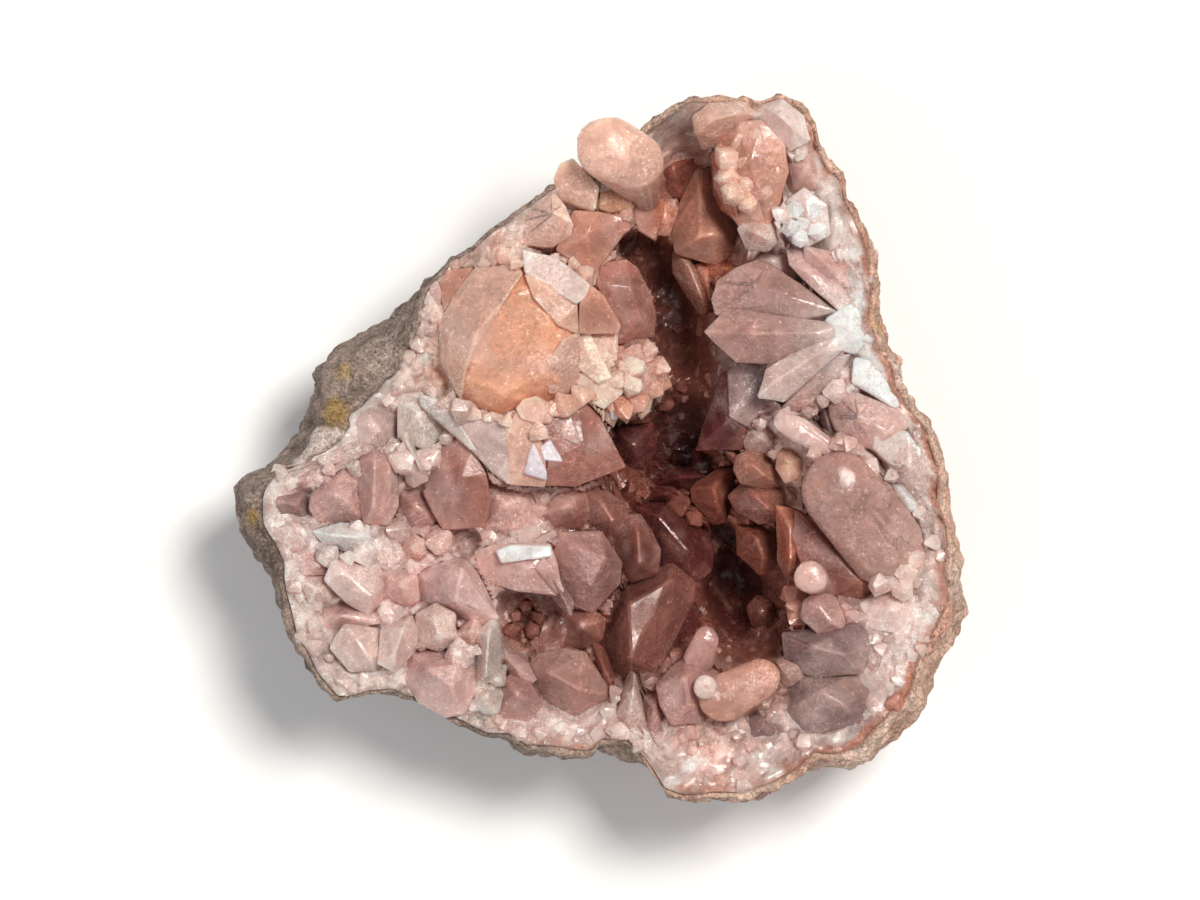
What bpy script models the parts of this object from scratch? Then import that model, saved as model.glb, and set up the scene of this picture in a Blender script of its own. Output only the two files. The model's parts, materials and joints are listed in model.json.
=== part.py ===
"""One half of a broken pink amethyst geode: a stone rind like a thick bowl, lined with quartz crystals.

Run it with: blender --background --python part.py, or from Blender's text editor.
The origin is the middle of the foot, on the surface that the geode rests on. +Z points up, out of the
open hollow. Lengths below are in millimetres and are scaled to metres as each mesh is made.
"""

import math
import random

import bmesh
import bpy
import numpy as np
from mathutils import Matrix, Vector, noise

MM = 0.001

# Driving dimensions of the nodule.
BELT_HEIGHT = 20.0  # height of the widest girth above the foot
FOOT_CUT = 1.6  # how far the rounded underside is worn flat
RIM_MEAN = 30.5  # mean height of the broken edge
RIM_SWING = 3.0  # how much higher the edge stands on its high side than on its low side, halved
RIM_HIGH_SIDE = 50.0  # heading of the high side, in degrees from +X
RIM_JAG = 1.2  # unevenness of the broken edge
FLOOR_THICKNESS = 3.4  # rind under the hollow
LIP_WIDTH = 1.1  # widest flat of broken rind along the edge
FOOT_BLUR = 60.0  # the bays of the outline fade out towards the foot, averaged over these degrees
SEAM = 0.3  # gap between rind and crystal crust
CRUST_THINNEST = 2.2
SAG = 6.5  # how far the lining dips between the edges, before its hollows
SOCKET_DEPTH = 1.2  # the lining stays this far below the shoulder of a large crystal
SOCKET_SLOPE = 1.4  # steepness of the lining around it
LUMP = 1.5  # height of the lumps on the outside

HEADINGS = 56  # vertices around each ring
BOWL_SHARES = (1.0, 0.93, 0.8, 0.6, 0.32)  # rings of the inner wall, as shares of its radius
LINING_HEADINGS = 36
LINING_RINGS = 9

# The outline seen from above, anticlockwise from +X.
OUTLINE = (
    (37.9, 0.0), (36.9, 2.9), (35.1, 5.0), (33.7, 7.3), (33.6, 9.4), (32.2, 11.4), (32.0, 13.0),
    (31.0, 14.8), (31.2, 18.5), (30.7, 22.0), (28.8, 26.0), (27.5, 28.0), (27.2, 30.0), (25.4, 32.0),
    (24.2, 34.2), (23.9, 36.0), (22.0, 38.4), (19.8, 39.4), (18.1, 38.5), (14.5, 38.9), (11.3, 38.8),
    (10.2, 39.2), (8.4, 38.2), (6.0, 36.9), (3.6, 34.4), (-0.4, 32.0), (-4.2, 29.8), (-7.4, 27.6),
    (-10.0, 25.7), (-12.2, 24.4), (-14.2, 22.6), (-16.3, 21.5), (-17.9, 20.0), (-20.7, 17.3),
    (-22.0, 15.6), (-25.2, 13.7), (-28.6, 12.2), (-30.4, 10.2), (-31.7, 8.5), (-32.1, 5.8),
    (-33.0, 4.3), (-32.8, 3.1), (-34.1, 1.4), (-33.7, -0.3), (-36.2, -1.8), (-39.0, -2.3),
    (-40.7, -4.0), (-41.0, -5.6), (-40.5, -9.0), (-38.8, -11.3), (-37.2, -13.4), (-36.3, -16.6),
    (-35.6, -18.2), (-34.4, -21.4), (-33.2, -22.7), (-32.0, -25.0), (-30.4, -26.7), (-29.2, -27.9),
    (-26.0, -27.1), (-23.4, -26.8), (-22.0, -27.6), (-19.9, -27.9), (-16.0, -30.1), (-12.2, -31.9),
    (-10.4, -32.2), (-8.4, -34.0), (-5.0, -34.2), (-1.2, -34.6), (0.1, -33.0), (3.2, -32.6),
    (5.2, -34.9), (6.4, -36.8), (7.4, -38.5), (9.4, -39.3), (13.0, -39.1), (16.2, -39.2),
    (19.4, -38.1), (22.7, -36.0), (24.8, -34.9), (27.7, -35.5), (30.4, -34.7), (32.2, -32.8),
    (34.8, -30.4), (36.6, -28.6), (37.4, -24.5), (39.4, -21.0), (40.9, -17.6), (40.1, -14.0),
    (39.7, -9.5), (38.6, -5.7), (38.7, -2.6),
)

# How wide a band of bare rock shows inside the outline: (heading in degrees, width).
BARE_ROCK = (
    (-176, 4.4), (-171, 3.8), (-163, 3.2), (-158, 2.2), (-148, 1.3), (-138, 0.8), (-128, 0.8),
    (-112, 0.6), (-103, 1.7), (-92, 1.5), (-84, 0.7), (-78, 1.4), (-65, 1.7), (-58, 1.3), (-52, 2.6),
    (-38, 3.2), (-31, 2.8), (-24, 3.0), (-14, 1.8), (0, 1.5), (15, 1.6), (24, 2.0), (33, 1.8),
    (42, 1.3), (60, 0.9), (74, 0.9), (80, 1.6), (86, 0.8), (110, 0.7), (130, 1.0), (138, 1.4),
    (144, 2.8), (151, 5.0), (158, 7.6), (165, 7.6), (172, 5.4), (178, 5.6), (181, 3.0),
)

# Hollows of the lining: (x, y, half length, half width, heading of its length, depth).
HOLLOWS = {
    "deep well": (15.6, -17.0, 7.0, 4.6, -75, 15.0),
    "middle": (9.5, -1.0, 9.0, 6.5, -40, 15.5),
    "saddle between": (13.0, -9.0, 8.0, 5.0, -80, 6.0),
    "upper trench": (7.2, 17.0, 10.0, 3.8, 105, 13.5),
    "top slit": (9.4, 29.0, 5.0, 2.6, 70, 12.0),
    "west nook": (2.0, 22.2, 2.6, 1.8, 60, 8.0),
    "lower nook": (-8.2, -19.0, 3.6, 2.8, 170, 9.5),
    "south slit": (19.4, -26.8, 3.6, 1.2, 60, 6.0),
}

# Rises of the lining, given in the same way.
RISES = {
    "under the great crystal": (-10.0, 12.0, 11.0, 9.0, 150, 4.5),
    "east bank": (26.0, -6.0, 17.0, 6.5, -80, 4.0),
    "south bank": (8.0, -29.0, 13.0, 4.5, 0, 2.5),
    "west bank": (-20.0, -19.0, 12.0, 8.0, 160, 2.5),
}

# Large crystals: name, height of the shoulder, ridge points, outline of the shoulder seen from above,
# and, where the crystal leans, the place of its root.
CRYSTALS = (
    # North-west edge and the great crystal beside it.
    # The broad point over the middle hollow, and what sits on it.
    # West shelf.
    ("fog", 25.5, ((-10.4, -6.0, 28.5),),
     ((-12.6, -3.6), (-9.6, -4.4), (-7.6, -5.0), (-6.8, -8.0), (-9.0, -9.6), (-12.6, -8.6))),
    ("mitre", 28, ((-24.7, -1.0, 32.0), (-24.9, -6.4, 31.5)),
     ((-24.8, -0.1), (-23.2, -0.9), (-22.4, -2.2), (-22.3, -6.0), (-23.4, -8.0), (-25.9, -7.8),
      (-26.7, -4.0), (-26.6, -1.4))),
    ("west block", 27, ((-29.6, -4.8, 30.0), (-28.0, -5.4, 30.4)),
     ((-31.8, -4.8), (-28.4, -2.2), (-26.6, -3.0), (-26.2, -7.6), (-31.0, -8.1), (-32.0, -6.4))),
    ("west pane", 25.5, ((-35.4, -5.6, 28.2), (-33.4, -6.0, 28.2)),
     ((-37.4, -4.8), (-36.0, -3.9), (-32.4, -4.2), (-32.2, -7.8), (-36.9, -8.0))),
    ("milk west", 26.5, ((-25.4, 3.6, 29.3), (-24.4, 2.2, 29.0)),
     ((-27.4, 5.6), (-25.0, 5.8), (-22.5, 4.2), (-23.0, 1.4), (-24.2, 0.3), (-25.8, 0.3), (-27.8, 2.0))),
    ("milk east", 27, ((-19.8, 4.0, 30.2),),
     ((-22.2, 6.4), (-19.6, 6.6), (-17.4, 4.6), (-17.2, 1.6), (-19.4, 0.2), (-22.2, 1.4))),
    ("needle", 28.5, ((-21.4, 1.2, 30.6), (-19.8, -2.0, 30.6)),
     ((-22.0, 1.4), (-21.2, 1.9), (-19.2, -2.0), (-19.6, -2.9), (-20.2, -2.4))),
    ("frost bar", 28, ((-29.6, -9.3, 30.5), (-26.6, -9.6, 31.0)),
     ((-31.6, -9.0), (-28.6, -8.1), (-25.6, -8.4), (-25.0, -9.8), (-26.4, -11.1), (-28.0, -11.2),
      (-30.4, -10.4))),
    ("pale coin", 26.5, ((-20.4, -10.8, 29.0),),
     ((-21.6, -10.0), (-20.4, -9.4), (-19.2, -10.0), (-19.2, -11.8), (-20.2, -12.4), (-21.6, -11.6))),
    ("dark pane", 25, ((-20.4, -6.2, 26.8),),
     ((-22.2, -4.4), (-20.0, -4.2), (-18.2, -6.8), (-18.2, -8.2), (-21.0, -8.4), (-22.0, -7.0))),
    # South-west bank.
    ("sail", 28.5, ((-15.1, -13.0, 34.0), (-15.9, -16.6, 33.5)),
     ((-19.9, -13.7), (-17.0, -12.5), (-14.8, -12.2), (-13.5, -13.8), (-12.4, -16.6), (-11.3, -18.4),
      (-13.2, -19.3), (-16.0, -18.2), (-19.8, -16.8))),
    ("cheek", 28, ((-21.8, -14.6, 31.0),),
     ((-24.0, -13.5), (-22.0, -13.2), (-20.2, -13.8), (-19.9, -16.4), (-21.2, -17.3), (-24.2, -16.0))),
    ("slab", 28, ((-28.2, -13.4, 31.0), (-25.2, -16.0, 31.0)),
     ((-29.4, -12.2), (-24.6, -12.7), (-23.6, -14.6), (-24.2, -16.8), (-25.6, -18.0), (-28.0, -16.8),
      (-30.2, -14.4))),
    ("flagstone", 26.5, ((-28.6, -18.2, 28.8),),
     ((-31.0, -17.2), (-28.0, -17.0), (-24.6, -18.2), (-24.4, -19.2), (-27.6, -19.4), (-30.0, -20.0),
      (-31.4, -18.8))),
    ("west petal", 28, ((-26.8, -20.6, 31.2), (-25.4, -22.8, 31.0)),
     ((-28.1, -19.3), (-24.2, -20.0), (-22.6, -21.6), (-24.6, -24.3), (-27.5, -24.4), (-29.7, -21.8))),
    ("east petal", 29, ((-21.6, -19.6, 32.5), (-22.6, -22.6, 32.0)),
     ((-24.0, -19.8), (-20.8, -18.3), (-19.9, -20.0), (-20.4, -22.0), (-22.5, -24.4), (-24.4, -23.4))),
    ("sugar lump", 29.5, ((-18.2, -18.8, 33.0), (-17.6, -20.4, 33.0)),
     ((-20.3, -18.2), (-18.0, -16.9), (-16.0, -18.1), (-15.8, -20.6), (-17.6, -22.1), (-19.7, -21.4))),
    ("fin", 29, ((-12.2, -20.2, 33.5), (-12.5, -24.6, 33.0)),
     ((-13.5, -20.2), (-12.0, -18.9), (-11.2, -19.2), (-10.9, -21.5), (-11.0, -24.3), (-12.2, -25.5),
      (-13.7, -26.0))),
    ("rose", 28, ((-18.8, -24.0, 33.0), (-15.6, -23.6, 33.0), (-16.2, -26.4, 33.4)),
     ((-20.9, -22.2), (-18.0, -22.4), (-14.6, -22.2), (-13.7, -24.0), (-13.9, -26.6), (-15.0, -28.8),
      (-17.0, -29.3), (-19.9, -27.7), (-21.3, -25.4))),
    ("gem", 28, ((-12.5, -27.2, 32.0),),
     ((-13.8, -26.2), (-12.9, -25.9), (-11.5, -25.6), (-10.8, -27.0), (-11.2, -28.9), (-12.7, -29.1),
      (-13.9, -28.0))),
    ("skirt", 26.5, ((-9.2, -26.8, 30.0),),
     ((-10.9, -25.8), (-10.0, -25.0), (-8.0, -25.7), (-6.4, -28.0), (-7.6, -30.2), (-10.2, -30.2),
      (-11.3, -29.2))),
    ("drum", 25, ((-5.4, -24.6, 29.0), (-2.2, -26.4, 29.5)),
     ((-8.0, -24.0), (-6.6, -22.7), (-4.0, -22.1), (-1.8, -22.5), (0.0, -24.6), (1.0, -27.0),
      (-0.8, -28.6), (-2.8, -30.1), (-6.0, -28.2), (-7.6, -26.0))),
    ("strap", 27, ((-5.2, -14.2, 30.5), (-3.6, -17.2, 29.0)),
     ((-5.8, -13.4), (-4.4, -13.8), (-3.0, -16.8), (-3.2, -18.2), (-4.4, -17.2), (-6.2, -15.0))),
    # Steps down into the hollow.
    ("plate", 25.5, ((-2.6, -10.8, 29.0), (0.4, -11.8, 29.0), (-1.0, -15.0, 29.0)),
     ((-4.2, -9.4), (-2.0, -8.9), (0.0, -9.2), (1.4, -10.3), (2.2, -12.5), (2.0, -14.8), (0.6, -17.1),
      (-0.8, -17.8), (-3.0, -17.0), (-4.6, -14.0), (-5.0, -11.6))),
    ("mottle", 24.5, ((-3.4, -6.2, 27.3),),
     ((-5.0, -5.0), (-3.2, -4.4), (-1.6, -4.8), (-1.0, -7.2), (-2.2, -8.6), (-5.0, -8.6), (-6.4, -7.0))),
    ("cobble", 23, ((0.2, -5.8, 27.0), (1.4, -7.8, 26.8)),
     ((-1.4, -4.7), (0.0, -4.2), (2.6, -5.9), (3.0, -7.4), (2.1, -9.5), (0.8, -9.5), (-1.1, -8.2))),
    ("disc", 21.5, ((4.2, -9.0, 26.5), (4.4, -12.4, 26.0)),
     ((2.9, -7.5), (4.4, -7.3), (5.7, -9.2), (6.5, -11.0), (6.2, -13.6), (3.4, -14.5), (2.0, -13.0),
      (1.6, -10.0))),
    ("spire", 19, ((7.6, -14.4, 24.0), (3.2, -17.0, 25.0), (3.4, -23.0, 26.0)),
     ((2.4, -15.4), (5.0, -13.9), (7.9, -13.0), (9.0, -14.4), (10.2, -15.0), (10.1, -17.0),
      (8.4, -20.2), (6.6, -24.2), (3.0, -25.9), (1.2, -24.0), (0.3, -21.6), (0.9, -18.6)),
     (4.0, -21.0, 14.0)),
    ("dusk", 15, ((6.6, -7.4, 19.0), (9.6, -11.0, 19.5)),
     ((3.4, -6.1), (8.0, -5.6), (10.2, -7.2), (11.8, -8.8), (12.5, -11.0), (12.4, -13.2), (10.5, -15.0),
      (7.4, -13.4), (5.0, -9.0))),
    ("knot", 17, ((12.6, -4.2, 21.0), (13.2, -6.4, 20.5)),
     ((10.2, -4.2), (12.0, -3.1), (13.6, -1.9), (15.1, -2.1), (14.7, -5.0), (14.2, -7.8), (12.6, -8.0),
      (10.4, -5.6))),
    ("lurker", 16, ((3.8, 0.6, 20.5),),
     ((1.2, 2.7), (5.8, 3.0), (6.3, 0.6), (5.0, -2.1), (3.4, -2.1), (2.0, -0.4))),
    # The fan of clear points on the east wall.
    # East wall below the fan.
    ("first kernel", 24.5, ((17.6, 1.4, 28.0),),
     ((16.0, 0.9), (16.6, 2.3), (18.6, 2.6), (19.5, 1.6), (19.5, 0.0), (17.6, -0.3), (16.1, 0.1))),
    ("second kernel", 23.5, ((16.8, -1.6, 27.5), (18.2, -2.8, 27.0)),
     ((15.1, -0.8), (16.4, -0.1), (18.0, -0.3), (19.8, -2.0), (20.0, -4.0), (17.8, -4.2), (15.7, -3.6),
      (14.9, -2.2))),
    ("third kernel", 21.5, ((17.0, -5.0, 26.0), (18.6, -6.4, 25.5)),
     ((14.4, -5.2), (16.0, -3.6), (18.0, -3.9), (20.4, -4.4), (20.6, -7.6), (17.6, -8.0), (15.2, -6.8))),
    ("fifth kernel", 18, ((17.4, -9.8, 22.5), (18.2, -12.0, 21.5)),
     ((15.2, -8.4), (17.6, -8.2), (20.2, -9.2), (20.2, -13.0), (17.8, -13.8), (15.4, -11.6))),
    ("rust", 29, ((26.8, 8.4, 31.8),),
     ((25.5, 10.0), (27.8, 9.6), (28.2, 7.4), (26.2, 6.7), (25.3, 7.8))),
    ("apron", 27, ((24.4, -9.8, 29.5), (28.6, -14.4, 30.0)),
     ((21.8, -7.0), (24.0, -8.0), (30.4, -13.6), (31.0, -15.4), (28.6, -16.8), (25.4, -16.0),
      (22.6, -13.0), (21.4, -10.0))),
    ("strip", 25.5, ((20.9, -8.4, 29.0), (21.0, -12.0, 29.0)),
     ((19.6, -6.4), (21.6, -6.8), (22.5, -9.0), (22.2, -12.4), (20.7, -14.2), (19.7, -12.0))),
    ("satin", 28.5, ((24.0, -17.0, 32.0), (25.4, -18.8, 32.0)),
     ((22.5, -16.7), (24.0, -15.7), (25.8, -16.2), (27.0, -18.0), (27.0, -19.8), (24.0, -20.2),
      (22.3, -18.6))),
    ("upper bluff", 28, ((23.4, -21.6, 31.5), (27.0, -22.6, 32.0)),
     ((20.4, -20.4), (24.0, -20.4), (28.4, -19.0), (29.6, -21.4), (28.6, -24.4), (24.0, -25.0),
      (20.8, -24.0))),
    ("lower bluff", 27.5, ((24.2, -26.4, 31.0), (26.6, -28.0, 31.0)),
     ((21.4, -24.6), (28.4, -24.6), (30.0, -26.6), (28.4, -30.0), (23.0, -31.4), (20.4, -29.0))),
    ("east rim", 31, ((34.0, -1.6, 33.5),),
     ((31.6, -0.6), (34.0, 1.6), (35.8, -0.6), (36.4, -4.0), (34.6, -5.2), (32.2, -3.0))),
    ("south-east rim", 29, ((32.0, -17.4, 31.6),),
     ((28.8, -17.0), (32.0, -15.6), (35.0, -15.0), (36.2, -18.6), (34.0, -20.4), (30.0, -19.6))),
    # South bank.
    ("peach", 27, ((9.4, -25.0, 31.5), (9.8, -28.0, 31.0)),
     ((6.4, -26.0), (8.0, -24.1), (9.6, -22.9), (11.9, -23.2), (13.2, -24.6), (12.4, -27.0),
      (11.4, -29.8), (8.0, -30.0), (6.8, -28.0))),
    ("fang", 26.5, ((3.7, -26.0, 31.0), (3.3, -28.6, 30.0)),
     ((3.8, -24.9), (4.3, -26.4), (4.6, -28.4), (5.0, -30.0), (3.0, -31.0), (1.7, -29.4), (2.6, -27.0))),
    ("knuckle", 26.5, ((17.9, -30.4, 29.2),),
     ((16.4, -30.2), (18.0, -29.1), (20.2, -31.0), (19.6, -32.4), (16.4, -32.0))),
    # North end.
    ("gourd", 21, ((11.0, 29.0, 24.5), (11.0, 23.6, 26.5), (13.0, 23.8, 26.0)),
     ((10.4, 31.6), (12.0, 31.2), (12.5, 28.6), (13.7, 26.4), (15.0, 24.8), (15.2, 22.2), (12.8, 20.9),
      (10.2, 21.1), (8.5, 22.0), (8.1, 24.2), (8.8, 26.2)), (12.5, 25.0, 13.0)),
    ("keel", 19, ((9.9, 20.4, 23.0), (11.4, 16.6, 22.5)),
     ((8.1, 22.0), (9.8, 21.6), (11.0, 18.0), (12.2, 15.4), (11.2, 15.0), (9.2, 17.8), (8.1, 19.6)),
     (12.0, 19.0, 15.0)),
    ("plum", 21, ((13.8, 20.2, 23.5),),
     ((12.0, 20.9), (15.4, 21.0), (16.4, 20.4), (14.6, 19.0), (12.4, 19.2))),
    ("lintel", 33, ((12.4, 36.2, 36.0), (15.0, 36.8, 36.5)),
     ((10.2, 36.6), (12.0, 38.0), (15.6, 38.2), (17.0, 36.8), (15.0, 35.4), (12.4, 34.4), (10.6, 34.8))),
    ("north-east rim", 33, ((19.6, 36.8, 36.0), (21.4, 35.0, 36.0)),
     ((17.6, 37.9), (20.0, 38.4), (22.2, 36.6), (23.0, 34.0), (21.0, 33.0), (18.4, 34.4), (17.4, 36.0))),
    ("sugar", 31, ((17.2, 23.8, 34.0), (18.4, 23.2, 34.0)),
     ((15.2, 24.4), (16.8, 25.4), (19.0, 24.8), (19.6, 23.0), (18.4, 21.9), (16.2, 22.2))),
    ("hall", 22, ((8.0, 31.0, 25.5),),
     ((6.4, 31.0), (8.6, 33.4), (11.6, 33.2), (10.0, 30.6), (9.2, 28.0), (7.4, 28.6))),
    ("heather", 32, ((22.6, 31.0, 34.5),),
     ((20.8, 31.6), (23.2, 32.6), (24.4, 30.6), (24.2, 28.2), (21.4, 28.8))),
    ("thistle", 31.5, ((26.0, 25.2, 34.0),),
     ((24.6, 27.2), (26.4, 27.2), (27.4, 24.6), (27.4, 22.4), (25.4, 22.0), (24.2, 24.6))),
    ("vetch", 31, ((25.0, 20.2, 33.6),),
     ((22.6, 22.4), (25.4, 21.8), (27.8, 19.8), (27.8, 17.4), (25.0, 18.2), (22.8, 20.4))),
)

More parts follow.
